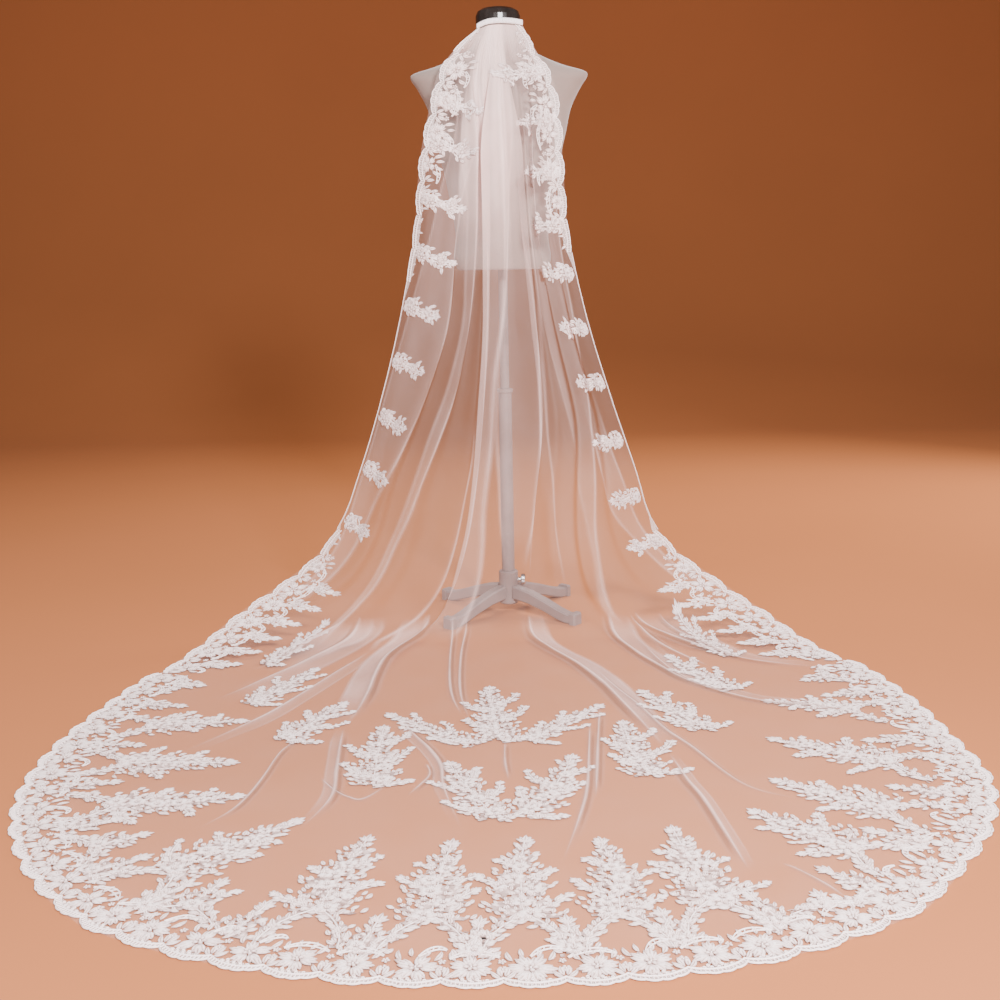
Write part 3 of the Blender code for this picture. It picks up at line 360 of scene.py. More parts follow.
# --------------------------------------------------- room, camera, lights, form
FLOOR_COLOUR = (0.405, 0.134, 0.042)            # colours are linear
GROUND_COLOUR = (0.955, 0.830, 0.810)
CAMERA_LENS = 46.08
CAMERA_X = -0.0175
CAMERA_DISTANCE = 3.136
CAMERA_HEIGHT = 0.8486
CAMERA_PITCH = 10.19
CAMERA_ROLL = 1.15
WORLD_COLOUR = (1.0, 0.93, 0.87, 1.0)
WORLD_STRENGTH = 0.20
LIGHT_ROWS = (
    # name, place in the frame, aim, width, height, power, colour
    ("key", (1.1, -2.7, 2.1), (0.0, -0.6, 0.0), 0.5, 0.5, 285.0, (1.0, 0.96, 0.97)),
    ("fill", (-3.0, -2.6, 3.8), (0.0, -0.2, 0.4), 2.0, 1.4, 150.0, (1.0, 0.96, 0.97)),
    ("back", (0.6, 2.8, 3.2), (0.0, 0.0, 0.5), 1.6, 1.6, 150.0, (1.0, 0.97, 0.96)),
    ("rear", (2.8, 2.4, 1.5), (0.0, 0.0, 0.8), 1.4, 1.2, 110.0, (1.0, 0.97, 0.96)),
    ("front", (0.5, -3.4, 2.4), (0.05, 0.6, 1.1), 1.6, 1.2, 150.0, (1.0, 0.97, 0.98)),
)
UNMIRRORED_LIGHTS = ("back", "rear")            # not seen in the glossy cap

TORSO_ROWS = (
    # z, half width, half depth, y of the middle
    (849, 106, 84, 4),
    (853, 109, 87, 4),
    (930, 111, 86, 4),
    (1020, 124, 92, 6),
    (1100, 140, 102, 10),
    (1170, 157, 102, 12),
    (1228, 171, 86, 6),
    (1270, 193, 68, -2),
    (1296, 208, 58, -4),
    (1302, 204, 54, -4),
    (1318, 152, 52, -3),
    (1337, 106, 51, -2),
    (1356, 71, 50, 0),
    (1378, 54, 49, 0),
    (1412, 51, 48, 0),
)
TORSO_STEPS = 6             # rings from one row to the next, and both of these
TORSO_TURNS = 97
BAND_STEPS = 241
BAND_TURNS = 17
BAND_SHARE = 0.97           # how much of the comb's width the band spans
ROOM = 10.0
WALL_Y = 4.2
WALL_BEND = 2.4


# -------------------------------------------------------------------- helpers
def smooth_between(keys, values, at):
    """Cubic Hermite curve through (keys, values), with no overshoot at flats."""
    keys, values, at = (np.asarray(item, float) for item in (keys, values, at))
    steps = np.diff(keys)
    rises = np.diff(values) / steps
    slopes = np.zeros(len(keys))
    slopes[1:-1] = (rises[:-1] * steps[1:] + rises[1:] * steps[:-1]) / (steps[:-1] + steps[1:])
    slopes[1:-1] = np.where(rises[:-1] * rises[1:] <= 0.0, 0.0, slopes[1:-1])
    slopes[0] = rises[0]
    slopes[-1] = rises[-1]
    cell = np.clip(np.searchsorted(keys, at, side="right") - 1, 0, len(steps) - 1)
    width = steps[cell]
    share = np.clip((at - keys[cell]) / width, 0.0, 1.0)
    square = share * share
    cube = square * share
    return ((2 * cube - 3 * square + 1) * values[cell]
            + (cube - 2 * square + share) * width * slopes[cell]
            + (3 * square - 2 * cube) * values[cell + 1]
            + (cube - square) * width * slopes[cell + 1])


def ease(value, start, end):
    share = np.clip((np.asarray(value, float) - start) / (end - start), 0.0, 1.0)
    return share * share * (3.0 - 2.0 * share)


def fade(value, start, end):
    return 1.0 - ease(value, start, end)


def window(value, opens, open_by, closes, shut_by):
    return ease(value, opens, open_by) * fade(value, closes, shut_by)


def bell(distance, width):
    return np.exp(-(distance / width) ** 2)


def unit(vectors):
    return vectors / (np.linalg.norm(vectors, axis=-1, keepdims=True) + 1e-12)


def left_of(headings):
    return np.stack([-headings[..., 1], headings[..., 0]], -1)


def turned(angle):
    return np.stack([np.cos(angle), np.sin(angle)], -1)


def run_lengths(line):
    """How far along a line of points each of them is."""
    return np.concatenate([[0.0], np.cumsum(np.linalg.norm(np.diff(line, axis=0), axis=1))])


def places_along(runs, known_runs, line):
    return np.stack([np.interp(runs, known_runs, column) for column in line.T], -1)


def joined(patches):
    return [np.concatenate(parts) for parts in zip(*patches)]


def new_mesh(name, points, faces, material):
    """A smooth mesh object from points about the pole."""
    mesh = bpy.data.meshes.new(name)
    faces = faces if isinstance(faces, list) else faces.tolist()
    mesh.from_pydata((points.reshape(-1, 3) + POLE).tolist(), [], faces)
    mesh.polygons.foreach_set("use_smooth", [True] * len(mesh.polygons))
    mesh.update()
    thing = bpy.data.objects.new(name, mesh)
    bpy.context.collection.objects.link(thing)
    mesh.materials.append(material)
    return thing


def paint(thing, name, values):
    layer = thing.data.attributes.new(name, "FLOAT", "POINT")
    layer.data.foreach_set("value", values.ravel())


def paint_flat_places(thing, places):
    """A UV map that holds each point's place on the flat cloth, in metres."""
    mesh = thing.data
    corners = np.empty(len(mesh.loops), dtype=int)
    mesh.loops.foreach_get("vertex_index", corners)
    layer = mesh.uv_layers.new(name="flat")
    layer.data.foreach_set("uv", places.reshape(-1, 2)[corners].ravel())


def grid_faces(rows, columns, start=0, flip=False):
    lines = start + np.arange(rows - 1)[:, None] * columns
    first = (lines + np.arange(columns - 1)[None, :]).ravel()
    quads = np.stack([first, first + columns, first + columns + 1, first + 1], -1)
    return quads[:, ::-1] if flip else quads


# ------------------------------------------------------------------- materials
class Nodes:
    """Short calls for building one material out of nodes."""

    def __init__(self, name, see_through=False):
        self.material = bpy.data.materials.new(name)
        self.material.use_nodes = True
        if see_through:
            self.material.surface_render_method = "BLENDED"
        self.tree = self.material.node_tree

    def feed(self, socket, value):
        """Set a socket to a value, or link it to another node's outlet."""
        if isinstance(value, bpy.types.NodeSocket):
            self.tree.links.new(value, socket)
        else:
            socket.default_value = value

    def add(self, kind, outlet, inputs=(), **settings):
        node = self.tree.nodes.new(kind)
        for key, value in settings.items():
            setattr(node, key, value)
        for key, value in dict(inputs).items():
            self.feed(node.inputs[key], value)
        return node.outputs[outlet]

    def look(self, **inputs):
        """Feed the shader's own inputs, and give back the material."""
        shader = self.tree.nodes["Principled BSDF"]
        for key, value in inputs.items():
            self.feed(shader.inputs[key.replace("_", " ")], value)
        return self.material

    def maths(self, operation, first, second, clamp=False):
        return self.add("ShaderNodeMath", "Value", {0: first, 1: second},
                        operation=operation, use_clamp=clamp)

    def sloped(self, source, base, slope, clamp=False):
        return self.maths("ADD", base, self.maths("MULTIPLY", source, slope), clamp)

    def centred(self, source):
        return self.maths("SUBTRACT", source, 0.5)

    def attribute(self, name):
        return self.add("ShaderNodeAttribute", "Fac", attribute_name=name)

    def flat_place(self):
        return self.add("ShaderNodeUVMap", "UV", uv_map="flat")

    def object_place(self, scale=None):
        place = self.add("ShaderNodeTexCoord", "Object")
        if scale is None:
            return place
        return self.add("ShaderNodeMapping", "Vector", {"Vector": place, "Scale": scale})

    def ramp(self, source, *stops):
        """Colours at places from 0 to 1, each stop as place, red, green, blue."""
        colours = self.add("ShaderNodeValToRGB", "Color", {"Fac": source})
        ramp = colours.node.color_ramp
        while len(ramp.elements) < len(stops):
            ramp.elements.new(0.5)
        for element, (place, *colour) in zip(ramp.elements, stops):
            element.position = place
            element.color = (*colour, 1.0)
        return colours

    def bump(self, height, distance, strength):
        return self.add("ShaderNodeBump", "Normal",
                        {"Height": height, "Distance": distance, "Strength": strength})

    def noise(self, vector, scale, detail=2.0):
        return self.add("ShaderNodeTexNoise", "Fac",
                        {"Vector": vector, "Scale": scale, "Detail": detail})

    def cells(self, vector, scale):
        """Distance to the edge of small cells, as in a net."""
        return self.add("ShaderNodeTexVoronoi", "Distance",
                        {"Vector": vector, "Scale": scale, "Randomness": 0.35},
                        feature="DISTANCE_TO_EDGE")


def tulle_material():
    """Fine net; the painted cover says how much of what is behind it hides."""
    n = Nodes("veil_tulle", see_through=True)
    place = n.flat_place()
    cloudy = n.noise(place, 9.0, 3.0)
    thread = n.maths("MULTIPLY", n.maths("SUBTRACT", 0.30, n.cells(place, 620.0)), 1.6)
    vary = n.maths("ADD", n.sloped(n.centred(cloudy), 0.90, 0.35), thread)
    # the shade attribute is painted shade on the floor creases; it pulls the net towards the
    # darkest colour
    tone_and_shade = n.maths("SUBTRACT", n.sloped(cloudy, 0.6, 0.4), n.attribute("shade"), clamp=True)
    colour = n.ramp(tone_and_shade, (0.0, 0.240, 0.115, 0.080), (0.70, 0.900, 0.640, 0.590),
                    (0.90, 0.960, 0.730, 0.690))
    cover = n.maths("MULTIPLY", n.attribute("cover"), vary, clamp=True)
    return n.look(Alpha=cover, Base_Color=colour, Roughness=0.75, Sheen_Weight=0.15,
                  Sheen_Roughness=0.5)


def ground_material():
    """The denser net ground that the lace is worked on."""
    n = Nodes("lace_ground", see_through=True)
    solid = n.maths("LESS_THAN", n.cells(n.flat_place(), 330.0), 0.16)
    return n.look(Alpha=n.sloped(solid, 0.16, 0.5, clamp=True), Roughness=0.7,
                  Base_Color=(*GROUND_COLOUR, 1.0), Sheen_Weight=0.3)


def thread_material():
    """Raised satin stitch and cord of the lace."""
    n = Nodes("lace_thread")
    place = n.object_place()
    grain = n.maths("MULTIPLY", n.centred(n.noise(place, 420.0)), 0.5)
    # the painted attribute is mostly painted shade: dark in the lace's hollows, at veins and edges
    # and under its leaves, with random variation
    tone_and_shade = n.maths("ADD", n.attribute("tone_and_shade"), grain, clamp=True)
    colour = n.ramp(tone_and_shade, (0.0, 0.190, 0.095, 0.075), (0.42, 0.740, 0.550, 0.520),
                    (0.80, 0.990, 0.860, 0.850))
    stitches = n.bump(n.noise(place, 1400.0, 1.0), 0.0004, 0.6)
    return n.look(Base_Color=colour, Normal=stitches, Roughness=0.5, Sheen_Weight=0.25,
                  Sheen_Roughness=0.4)


def satin_material():
    n = Nodes("satin_band")
    grain = n.noise(n.object_place((500.0, 500.0, 120.0)), 3.0)
    colour = n.ramp(grain, (0.2, 0.880, 0.790, 0.800), (0.8, 0.980, 0.900, 0.910))
    return n.look(Base_Color=colour, Normal=n.bump(grain, 0.0003, 0.5), Roughness=0.38,
                  Sheen_Weight=0.2)


def jersey_material():
    n = Nodes("form_jersey")
    fine = n.noise(n.object_place((900.0, 900.0, 450.0)), 1.0)
    broad = n.noise(n.object_place(), 6.0, 3.0)
    colour = n.ramp(broad, (0.3, 0.235, 0.172, 0.148), (0.7, 0.305, 0.230, 0.200))
    return n.look(Base_Color=colour, Normal=n.bump(fine, 0.0005, 0.7), Roughness=0.9,
                  Sheen_Weight=0.3)


def lacquer_material():
    n = Nodes("cap_lacquer_gloss")
    grain = n.noise(n.object_place((40.0, 40.0, 8.0)), 1.0, 3.0)
    colour = n.ramp(grain, (0.3, 0.010, 0.007, 0.006), (0.7, 0.026, 0.019, 0.017))
    return n.look(Base_Color=colour, Roughness=n.sloped(grain, 0.14, 0.15))


def paint_material():
    n = Nodes("stand_paint_pale")
    orange_peel = n.noise(n.object_place(), 320.0)
    wear = n.noise(n.object_place(), 14.0, 4.0)
    colour = n.ramp(wear, (0.30, 0.170, 0.122, 0.114), (0.62, 0.235, 0.175, 0.165))
    return n.look(Base_Color=colour, Normal=n.bump(orange_peel, 0.0002, 0.3),
                  Roughness=n.sloped(wear, 0.28, 0.2))


def knob_material():
    n = Nodes("knob_bright_metal")
    turning = n.noise(n.object_place((1600.0, 60.0, 60.0)), 1.0)
    colour = n.ramp(turning, (0.2, 0.760, 0.760, 0.780), (0.8, 0.900, 0.900, 0.910))
    return n.look(Base_Color=colour, Roughness=n.sloped(turning, 0.12, 0.2), Metallic=1.0)


# ----------------------------------------------------------- the net's surface
def level_value(column, station):
    return smooth_between(LEVELS[:, 0], LEVELS[:, column], station)


def base_point(across, station):
    """The unfolded cloth: across runs from -1 to +1, station from comb to hem."""
    size = np.abs(across)
    ends = [np.where(across > 0.0, level_value(COL_RIGHT + k, station),
                     level_value(COL_LEFT + k, station)) for k in range(3)]
    mid_y = level_value(COL_MID_Y, station)
    mid_z = level_value(COL_MID_Z, station)
    turn = size ** level_value(COL_POWER, station)
    return np.stack([ends[0] * size, mid_y + (ends[1] - mid_y) * turn,
                     mid_z + (ends[2] - mid_z) * size ** DROP_POWER], axis=-1)


def across_of(label, station):
    """Where a thread that keeps its label lies across the cloth."""
    rows = station[:, 0]
    edge = np.ones(len(rows))
    folds = [smooth_between(FOLD_STATIONS, row[0], rows) for row in FOLD_ROWS]
    marks = [-1.0] + [row[0][0] for row in FOLD_ROWS] + [1.0]
    tracks = np.stack([-edge] + folds + [edge], -1)
    return np.stack([np.interp(*pair) for pair in zip(label, [marks] * len(rows), tracks)])


def surface_normals(points):
    return unit(np.cross(np.gradient(points, axis=0), np.gradient(points, axis=1)))


def fold_depth(label, hanging, floor, end, station):
    late = OUTER_FOLD_DELAY if abs(label) > OUTER_FOLD else 0.0
    opening = ease(station, FOLD_START + late, FOLD_OPEN + late)
    settling = ease(station, FOLD_SETTLE, FOLD_FLOOR)
    return opening * (hanging + (floor - hanging) * settling) * fade(station, end - FOLD_FADE, end)


def gathers(label, station):
    """Height of the small and the large gathers, each from -1 to 1."""
    wander = 0.8 * np.sin(2.3 * label + 1.1) + 0.5 * np.sin(5.1 * label + 0.4)
    wander = wander + 0.10 * np.sin(3.0 * station + 5.0 * label)
    return [sum(share * np.cos(2.0 * np.pi * (waves * label + drift * wander) + phase)
                for share, waves, drift, phase in rows)
            for rows in (SMALL_GATHERS, LARGE_GATHERS)]


def net_surface(labels, stations):
    """Points, normals and layers of the net on a fine grid of threads."""
    station, label = np.meshgrid(stations, labels, indexing="ij")
    u = across_of(label, station)
    folded = base_point(u * SIDE_LIMIT, station)
    normal = surface_normals(folded)
    side = unit(np.gradient(folded, axis=1))
    hanging = fade(station, FOLD_SETTLE, FOLD_FLOOR)
    for tracks, lean, *depths in FOLD_ROWS:
        own = tracks[0]
        lift = bell(label - own, FOLD_HALF_WIDTH) * fold_depth(own, *depths, station)
        folded += normal * lift[..., None] + side * (lift * lean * hanging)[..., None]
    small, large = gathers(label, station)
    ripple = SMALL_RIPPLE * small * window(station, *SMALL_RIPPLE_DOWN)
    ripple += LARGE_RIPPLE * large * window(station, *LARGE_RIPPLE_DOWN)
    folded += normal * ripple[..., None]
    folded[..., 2] = np.maximum(folded[..., 2], NET_HEIGHT)
    layers = panel_layers(u, station) + gathered_layers(u, station, small, large)
    return folded, surface_normals(folded), layers, u, station


def gathered_layers(u, station, small, large):
    """Layers of the single net: close at the comb, and where it lies on the floor."""
    streaks = 0.5 + 0.30 * small + 0.20 * large
    layers = 1.0 + (FLOOR_LAYERS - 1.0) * ease(station, *SPREAD_DOWN)
    layers += COMB_LAYERS * bell(station, COMB_FADE)
    middle = window(u, *GATHERED_ACROSS) * fade(station, *GATHERED_DOWN)
    layers += GATHERED_LAYERS * middle * (1.0 + streaks)
    layers += STREAK_LAYERS * fade(station, *STREAK_DOWN) * streaks
    layers += DENSE_LAYERS * window(u, *DENSE_ACROSS) * fade(station, *DENSE_DOWN)
    return layers


def panel_layers(u, station):
    """Layers that the doubled panels add, with a bright fold at each edge."""
    total = np.zeros(u.shape)
    for low, high, count, low_soft, high_soft, low_rim, high_rim, first, last in PANEL_ROWS:
        low = smooth_between(PANEL_STATIONS, low, station)
        high = smooth_between(PANEL_STATIONS, high, station)
        low_soft, high_soft = EDGE_SHARPNESS * low_soft, EDGE_SHARPNESS * high_soft
        body = window(u, low - low_soft, low + low_soft, high - high_soft, high + high_soft)
        shown = window(station, first - 0.08, first + 0.10, last - 0.15, last)
        rims = (low_rim * bell(u - low - 0.5 * RIM_HALF_WIDTH, RIM_HALF_WIDTH)
                + high_rim * bell(u - high + 0.5 * RIM_HALF_WIDTH, RIM_HALF_WIDTH))
        total += shown * (PANEL_LAYERS * count * body + RIM_LAYERS * rims)
    return total


def cover_of(layers):
    return 1.0 - (1.0 - LAYER_COVER) ** layers


# ------------------------------------------------------------- lace: the charts
class FloorChart:
    """Flat drawings in floor metres, laid on top of the net."""

    RAY_START = 0.30

    def __init__(self, tree):
        self.tree = tree

    def tops(self, flat, beyond=NET_HEIGHT):
        """Height of the net over each place, or the given one where there is none."""
        down = Vector((0.0, 0.0, -1.0))
        hits = (self.tree.ray_cast(Vector((x, y, self.RAY_START)), down)[0] for x, y in flat)
        return np.array([beyond if hit is None else hit.z for hit in hits])

    def lay(self, flat, height):
        return np.column_stack([flat, self.tops(flat) + LACE_LIFT + height])


class TrainChart(FloorChart):
    """Drawings along the train's edge: run along it, depth into the cloth."""

    SAMPLES = 1200
    TURN_WINDOW = 181           # samples over which the inward direction is evened out

    def __init__(self, tree):
        super().__init__(tree)
        down = np.linspace(TOUCH_STATION, LEVELS[-1, 0], self.SAMPLES)
        left, right = [np.stack([level_value(column, down), level_value(column + 1, down)], -1)
                       for column in (COL_LEFT, COL_RIGHT)]
        across = np.linspace(-1.0, 1.0, self.SAMPLES)
        hem = base_point(across, np.full(self.SAMPLES, LEVELS[-1, 0]))[:, :2]
        path = np.concatenate([left[:-1], hem, right[::-1][1:]])
        lengths = run_lengths(path)
        self.total = lengths[-1]
        self.runs = np.linspace(0.0, self.total, 3 * self.SAMPLES)
        self.path = places_along(self.runs, lengths, path)
        margin = self.TURN_WINDOW // 2
        kernel = np.hanning(self.TURN_WINDOW)
        kernel /= kernel.sum()
        headings = np.pad(np.gradient(self.path, axis=0), ((margin, margin), (0, 0)), mode="edge")
        even = [np.convolve(column, kernel, mode="valid") for column in headings.T]
        self.inward = left_of(unit(np.stack(even, -1)))

    def floor_place(self, run, depth):
        inward = places_along(run, self.runs, self.inward)
        return places_along(run, self.runs, self.path) + inward * np.asarray(depth)[..., None]

    def lay(self, flat, height):
        return super().lay(self.floor_place(flat[:, 0], flat[:, 1]), height)


class SideChart:
    """Drawings along one hanging edge: run down from the comb, depth inwards."""

    STEP = 0.002
    OUTSIDE = 0.012
    INSIDE = 0.160
    HEADING_STEPS = 6

    def __init__(self, points, normals, stations, left):
        keep = stations <= TOUCH_STATION + 1e-6
        order = slice(None) if left else slice(None, None, -1)
        points = points[keep][:, order]
        normals = normals[keep][:, order]
        self.stations = stations[keep]
        self.runs = run_lengths(points[:, 0])
        self.total = self.runs[-1]
        wanted = np.arange(0.0, self.INSIDE + self.STEP, self.STEP)
        self.depths = np.concatenate([[-self.OUTSIDE], wanted])
        self.places = []
        self.tilts = []
        for line, tilts in zip(points, normals):
            inner = places_along(wanted, run_lengths(line), line)
            tilt = places_along(wanted, run_lengths(line), tilts)
            outer = inner[0] - unit(inner[self.HEADING_STEPS] - inner[0]) * self.OUTSIDE
            self.places.append(np.vstack([outer, inner]))
            self.tilts.append(np.vstack([tilt[0], tilt]))

    def width_at(self, runs, width_rows):
        """How wide the edging shows at these runs."""
        return np.interp(np.interp(runs, self.runs, self.stations), *zip(*width_rows))

    def run_at(self, station):
        return float(np.interp(station, self.stations, self.runs))

    def sample(self, table, flat):
        table = np.array(table)
        row = np.interp(flat[:, 0], self.runs, np.arange(len(self.runs)))
        column = np.interp(flat[:, 1], self.depths, np.arange(len(self.depths)))
        r = np.clip(row.astype(int), 0, table.shape[0] - 2)
        c = np.clip(column.astype(int), 0, table.shape[1] - 2)
        down = (row - r)[:, None]
        inwards = (column - c)[:, None]
        return ((table[r, c] * (1 - inwards) + table[r, c + 1] * inwards) * (1 - down)
                + (table[r + 1, c] * (1 - inwards) + table[r + 1, c + 1] * inwards) * down)

    def lay(self, flat, height):
        tilt = unit(self.sample(self.tilts, flat))
        return self.sample(self.places, flat) + tilt * (LACE_LIFT + height)[:, None]


# ------------------------------------------------------------- floor creases
def smooth_path(points, count):
    """A Catmull-Rom curve through points, in even steps of its parameter."""
    padded = np.concatenate([[2 * points[0] - points[1]], points, [2 * points[-1] - points[-2]]])
    at = np.linspace(0.0, len(points) - 1.0, count)
    cell = np.clip(at.astype(int), 0, len(points) - 2)
    t = (at - cell)[:, None]
    p0, p1, p2, p3 = (padded[cell + k] for k in range(4))
    return 0.5 * (2 * p1 + (p2 - p0) * t + (2 * p0 - 5 * p1 + 4 * p2 - p3) * t ** 2
                  + (3 * p1 - p0 - 3 * p2 + p3) * t ** 3)


def crease_profile(reach, taper, half_width, band, band_layers, line_layers):
    """Across one crease: places, share of its height, painted shadow and layers."""
    hand = np.sign(band) if band else 1.0
    places = np.concatenate([half_width * np.array(RIDGE_PLACES),
                             abs(band) * np.array(BAND_PLACES) if band else []])
    across = hand * np.unique(places)[None, :]
    wide = half_width * (1.0 + 0.25 * np.sin(9.0 * reach + 400.0 * half_width))
    ridge = bell(across, 0.8 * wide)
    # painted shadow: a dark line beside the ridge, on the side away from the band
    shade = CREASE_SHADE * taper * bell(hand * across + 0.9 * half_width, 0.5 * half_width)
    layers = RIDGE_LAYERS * line_layers * bell(across, 0.25 * wide) + 0.4 * ridge
    if band:
        beyond = hand * across / (abs(band) * (0.7 + 0.3 * taper))
        layers = layers + band_layers * window(beyond, -0.05, 0.05, 0.80, 1.0)
        layers = layers + 0.6 * line_layers * bell(beyond - 0.86, 0.09)
    # the painted shadow also thickens the net so that it shows
    return across, ridge * taper, shade, (layers + 1.6 * line_layers * shade) * taper


def crease_ribbons(floor, material):
    """Pinched folds of the net on the floor: a ridge with a doubled band beside it."""
    patches, faces = [], []
    count = 0
    reach = np.linspace(0.0, 1.0, CREASE_STEPS)[:, None]
    taper = window(reach, 0.0, 0.20, 0.70, 1.0)
    for line, half_width, height, band, *own_layers in CREASE_ROWS:
        path = smooth_path(np.array(line) / MM, CREASE_STEPS)
        right = -left_of(unit(np.gradient(path, axis=0)))
        across, rise, shade, layers = crease_profile(reach, taper, half_width / MM, band / MM,
                                                     *own_layers)
        place = path[:, None, :] + right[:, None, :] * across[..., None]
        tops = floor.tops(place.reshape(-1, 2), beyond=CREASE_TOP).reshape(rise.shape)
        layers = layers * fade(tops, 0.3 * CREASE_TOP, 0.9 * CREASE_TOP)
        lift = np.minimum(tops, CREASE_TOP) + CREASE_LIFT + height / MM * rise
        cover = cover_of(CREASE_LAYERS * layers).ravel()
        # painted shade over the whole crease, plus the painted shadow beside it
        patches.append((place.reshape(-1, 2), lift.ravel(), cover, (CREASE_OVERALL_SHADE + shade).ravel()))
        quads = grid_faces(*rise.shape)
        faces.append(count + quads[cover[quads].max(axis=1) > LEAST_COVER])
        count += rise.size
    places, lifts, covers, shades = joined(patches)
    points = np.column_stack([places, lifts])
    creases = new_mesh("net_creases", points, np.concatenate(faces), material)
    paint(creases, "cover", covers)
    paint(creases, "shade", shades)
    paint_flat_places(creases, places)
    return creases


# ----------------------------------------------------------- lace: the drawing
def bezier(start, bend, end, count):
    """Points on a curve that leaves start towards bend and ends at end."""
    t = np.linspace(0.0, 1.0, count)[:, None]
    start, bend, end = (np.asarray(p, float) for p in (start, bend, end))
    return (1 - t) ** 2 * start + 2 * (1 - t) * t * bend + t ** 2 * end


class Threads:
    """Raised lace, drawn flat: x, y, height and a tone that is painted shade, 0 in hollows to 1 on
    top.
    """

    LEAF_ALONG = np.linspace(0.0, 1.0, 5)
    LEAF_ACROSS = np.array((-1.0, -0.5, 0.0, 0.5, 1.0))
    PETAL_REACH = np.array((0.14, 0.40, 0.72, 0.92, 1.0))
    SMALL_PETAL_REACH = np.array((0.15, 0.6, 1.0))
    FAN_LEAVES = ((-0.30, 0.70), (0.30, 0.70), (0.0, 0.86))     # turn, share of the radius

    def __init__(self, seed, fill_shades=FILL_SHADES):
        self.rng = np.random.default_rng(seed)
        self.fill_shades = fill_shades
        self.patches = []
        self.faces = []
        self.count = 0

    def vary(self, low, high):
        return self.rng.uniform(low, high)

    def petals(self):
        """Five or six."""
        return int(self.rng.integers(5, 7))

    def grid(self, flat, height, tone_and_shade, gaps=0.0):
        """A patch of lace; gaps is the share of its meshes that are left open."""
        faces = grid_faces(*height.shape, self.count)
        if gaps:
            faces = faces[self.rng.uniform(size=len(faces)) > gaps]
        self.faces.append(faces)
        self.patches.append((flat.reshape(-1, 2), height.ravel(), tone_and_shade.ravel()))
        self.count += height.size

    def leaf(self, base, angle, length, width, bend=0.0, height=0.0022, lift=0.0):
        """A pointed leaf of two raised halves with a vein between them."""
        t = self.LEAF_ALONG[:, None]
        s = self.LEAF_ACROSS[None, :]
        heading = angle + bend * self.LEAF_ALONG
        walk = turned(heading) * length / (len(self.LEAF_ALONG) - 1)
        centre = np.asarray(base) + np.cumsum(walk, axis=0) - walk[0]
        side = turned(heading + 0.5 * np.pi)
        half = 0.5 * width * np.clip(np.sin(np.pi * t ** 0.85), 0.03, None) ** 0.7
        flat = centre[:, None, :] + side[:, None, :] * (half * s)[..., None]
        hump = 1.0 - 1.7 * np.abs(np.abs(s) - 0.5)
        body = hump * (0.35 + 0.65 * np.sin(np.pi * np.clip(t, 0.05, 0.95)))
        # painted shade: darker along the vein and at the edges, varied at random
        self.grid(flat, lift + height * body, body * self.vary(0.78, 1.0))

    def flower(self, middle, radius, petals=6, height=PETAL_HEIGHT, lift=0.0, fine=True):
        """Rounded petals round a raised eye; no two of them quite alike."""
        reach = self.PETAL_REACH if fine else self.SMALL_PETAL_REACH
        rise = np.interp(reach, (0.14, 0.40, 0.75, 1.0), (0.10, 0.75, 1.0, 0.20))
        spread = np.linspace(-1.0, 1.0, 7 if fine else 4)
        half = np.pi / petals * 0.92
        start = self.vary(0.0, 6.3)
        edge = 1.0 - 0.80 * np.abs(spread) ** 2.5
        if fine:
            edge = edge * (0.72 + 0.28 * np.cos(3.0 * np.pi * spread))
        raised = rise[:, None] * edge[None, :]
        rounded = 0.62 + 0.38 * np.cos(0.5 * np.pi * spread) ** 0.5
        rounded = rounded * (1.0 - 0.10 * bell(spread, 0.22))
        widen = np.clip(0.25 + reach * 1.25, 0.0, 1.0)
        for petal in range(petals):
            rim = radius * self.vary(0.86, 1.08) * rounded
            around = start + 2.0 * np.pi * (petal + self.vary(-0.06, 0.06)) / petals
            angle = around + half * spread[None, :] * widen[:, None]
            flat = np.asarray(middle) + turned(angle) * (reach[:, None] * rim[None, :])[..., None]
            # painted shade: petals darker near the eye, at the rim and at their sides
            self.grid(flat, lift + height * raised, raised * self.vary(0.85, 1.0))
        self.dot(middle, radius * 0.15, lift + height * 0.9)

    def rosette(self, middle, radius, petals=6, height=PETAL_HEIGHT, lift=0.0):
        """A large flower whose petals are fans of three narrow leaves."""
        start = self.vary(0.0, 6.3)
        for petal in range(petals):
            around = start + 2.0 * np.pi * (petal + self.vary(-0.08, 0.08)) / petals
            base = np.asarray(middle) + turned(around) * 0.16 * radius
            for fan, share in self.FAN_LEAVES:
                self.leaf(base, around + fan, share * radius * self.vary(0.92, 1.10), 0.34 * radius,
                          0.3 * fan, height, lift + 0.0004 * (fan == 0.0))
        self.flower(middle, 0.34 * radius, 5, 0.8 * height, lift + 0.8 * height, fine=False)

    def dot(self, middle, radius, height):
        around = turned(np.linspace(0.0, 2.0 * np.pi, 7))
        reach = np.array((0.0, 0.65, 1.0))
        flat = np.asarray(middle) + around[None, :, :] * (radius * reach)[:, None, None]
        ones = np.ones((1, len(around)))
        # painted shade: the eye darker at its rim
        self.grid(flat, np.array((1.0, 0.85, 0.1))[:, None] * height * ones,
                  np.array((1.0, 0.95, 0.2))[:, None] * ones)

    def cord(self, line, width, height=0.0016):
        """A round cord along a line of points."""
        line = np.asarray(line, float)
        side = left_of(unit(np.gradient(line, axis=0)))
        across = np.array((-0.5, -0.2, 0.2, 0.5))
        flat = line[:, None, :] + side[:, None, :] * (across * width)[None, :, None]
        ones = np.ones((len(line), 1))
        # painted shade: a cord darker at its sides
        self.grid(flat, height * ones * np.array((0.0, 1.0, 1.0, 0.0)),
                  ones * np.array((0.25, 1.0, 1.0, 0.25)))

    def eyelet(self, middle, radius, width):
        around = turned(np.linspace(0.0, 2.0 * np.pi, 8))
        self.cord(np.asarray(middle) + radius * around, width, 0.0014)

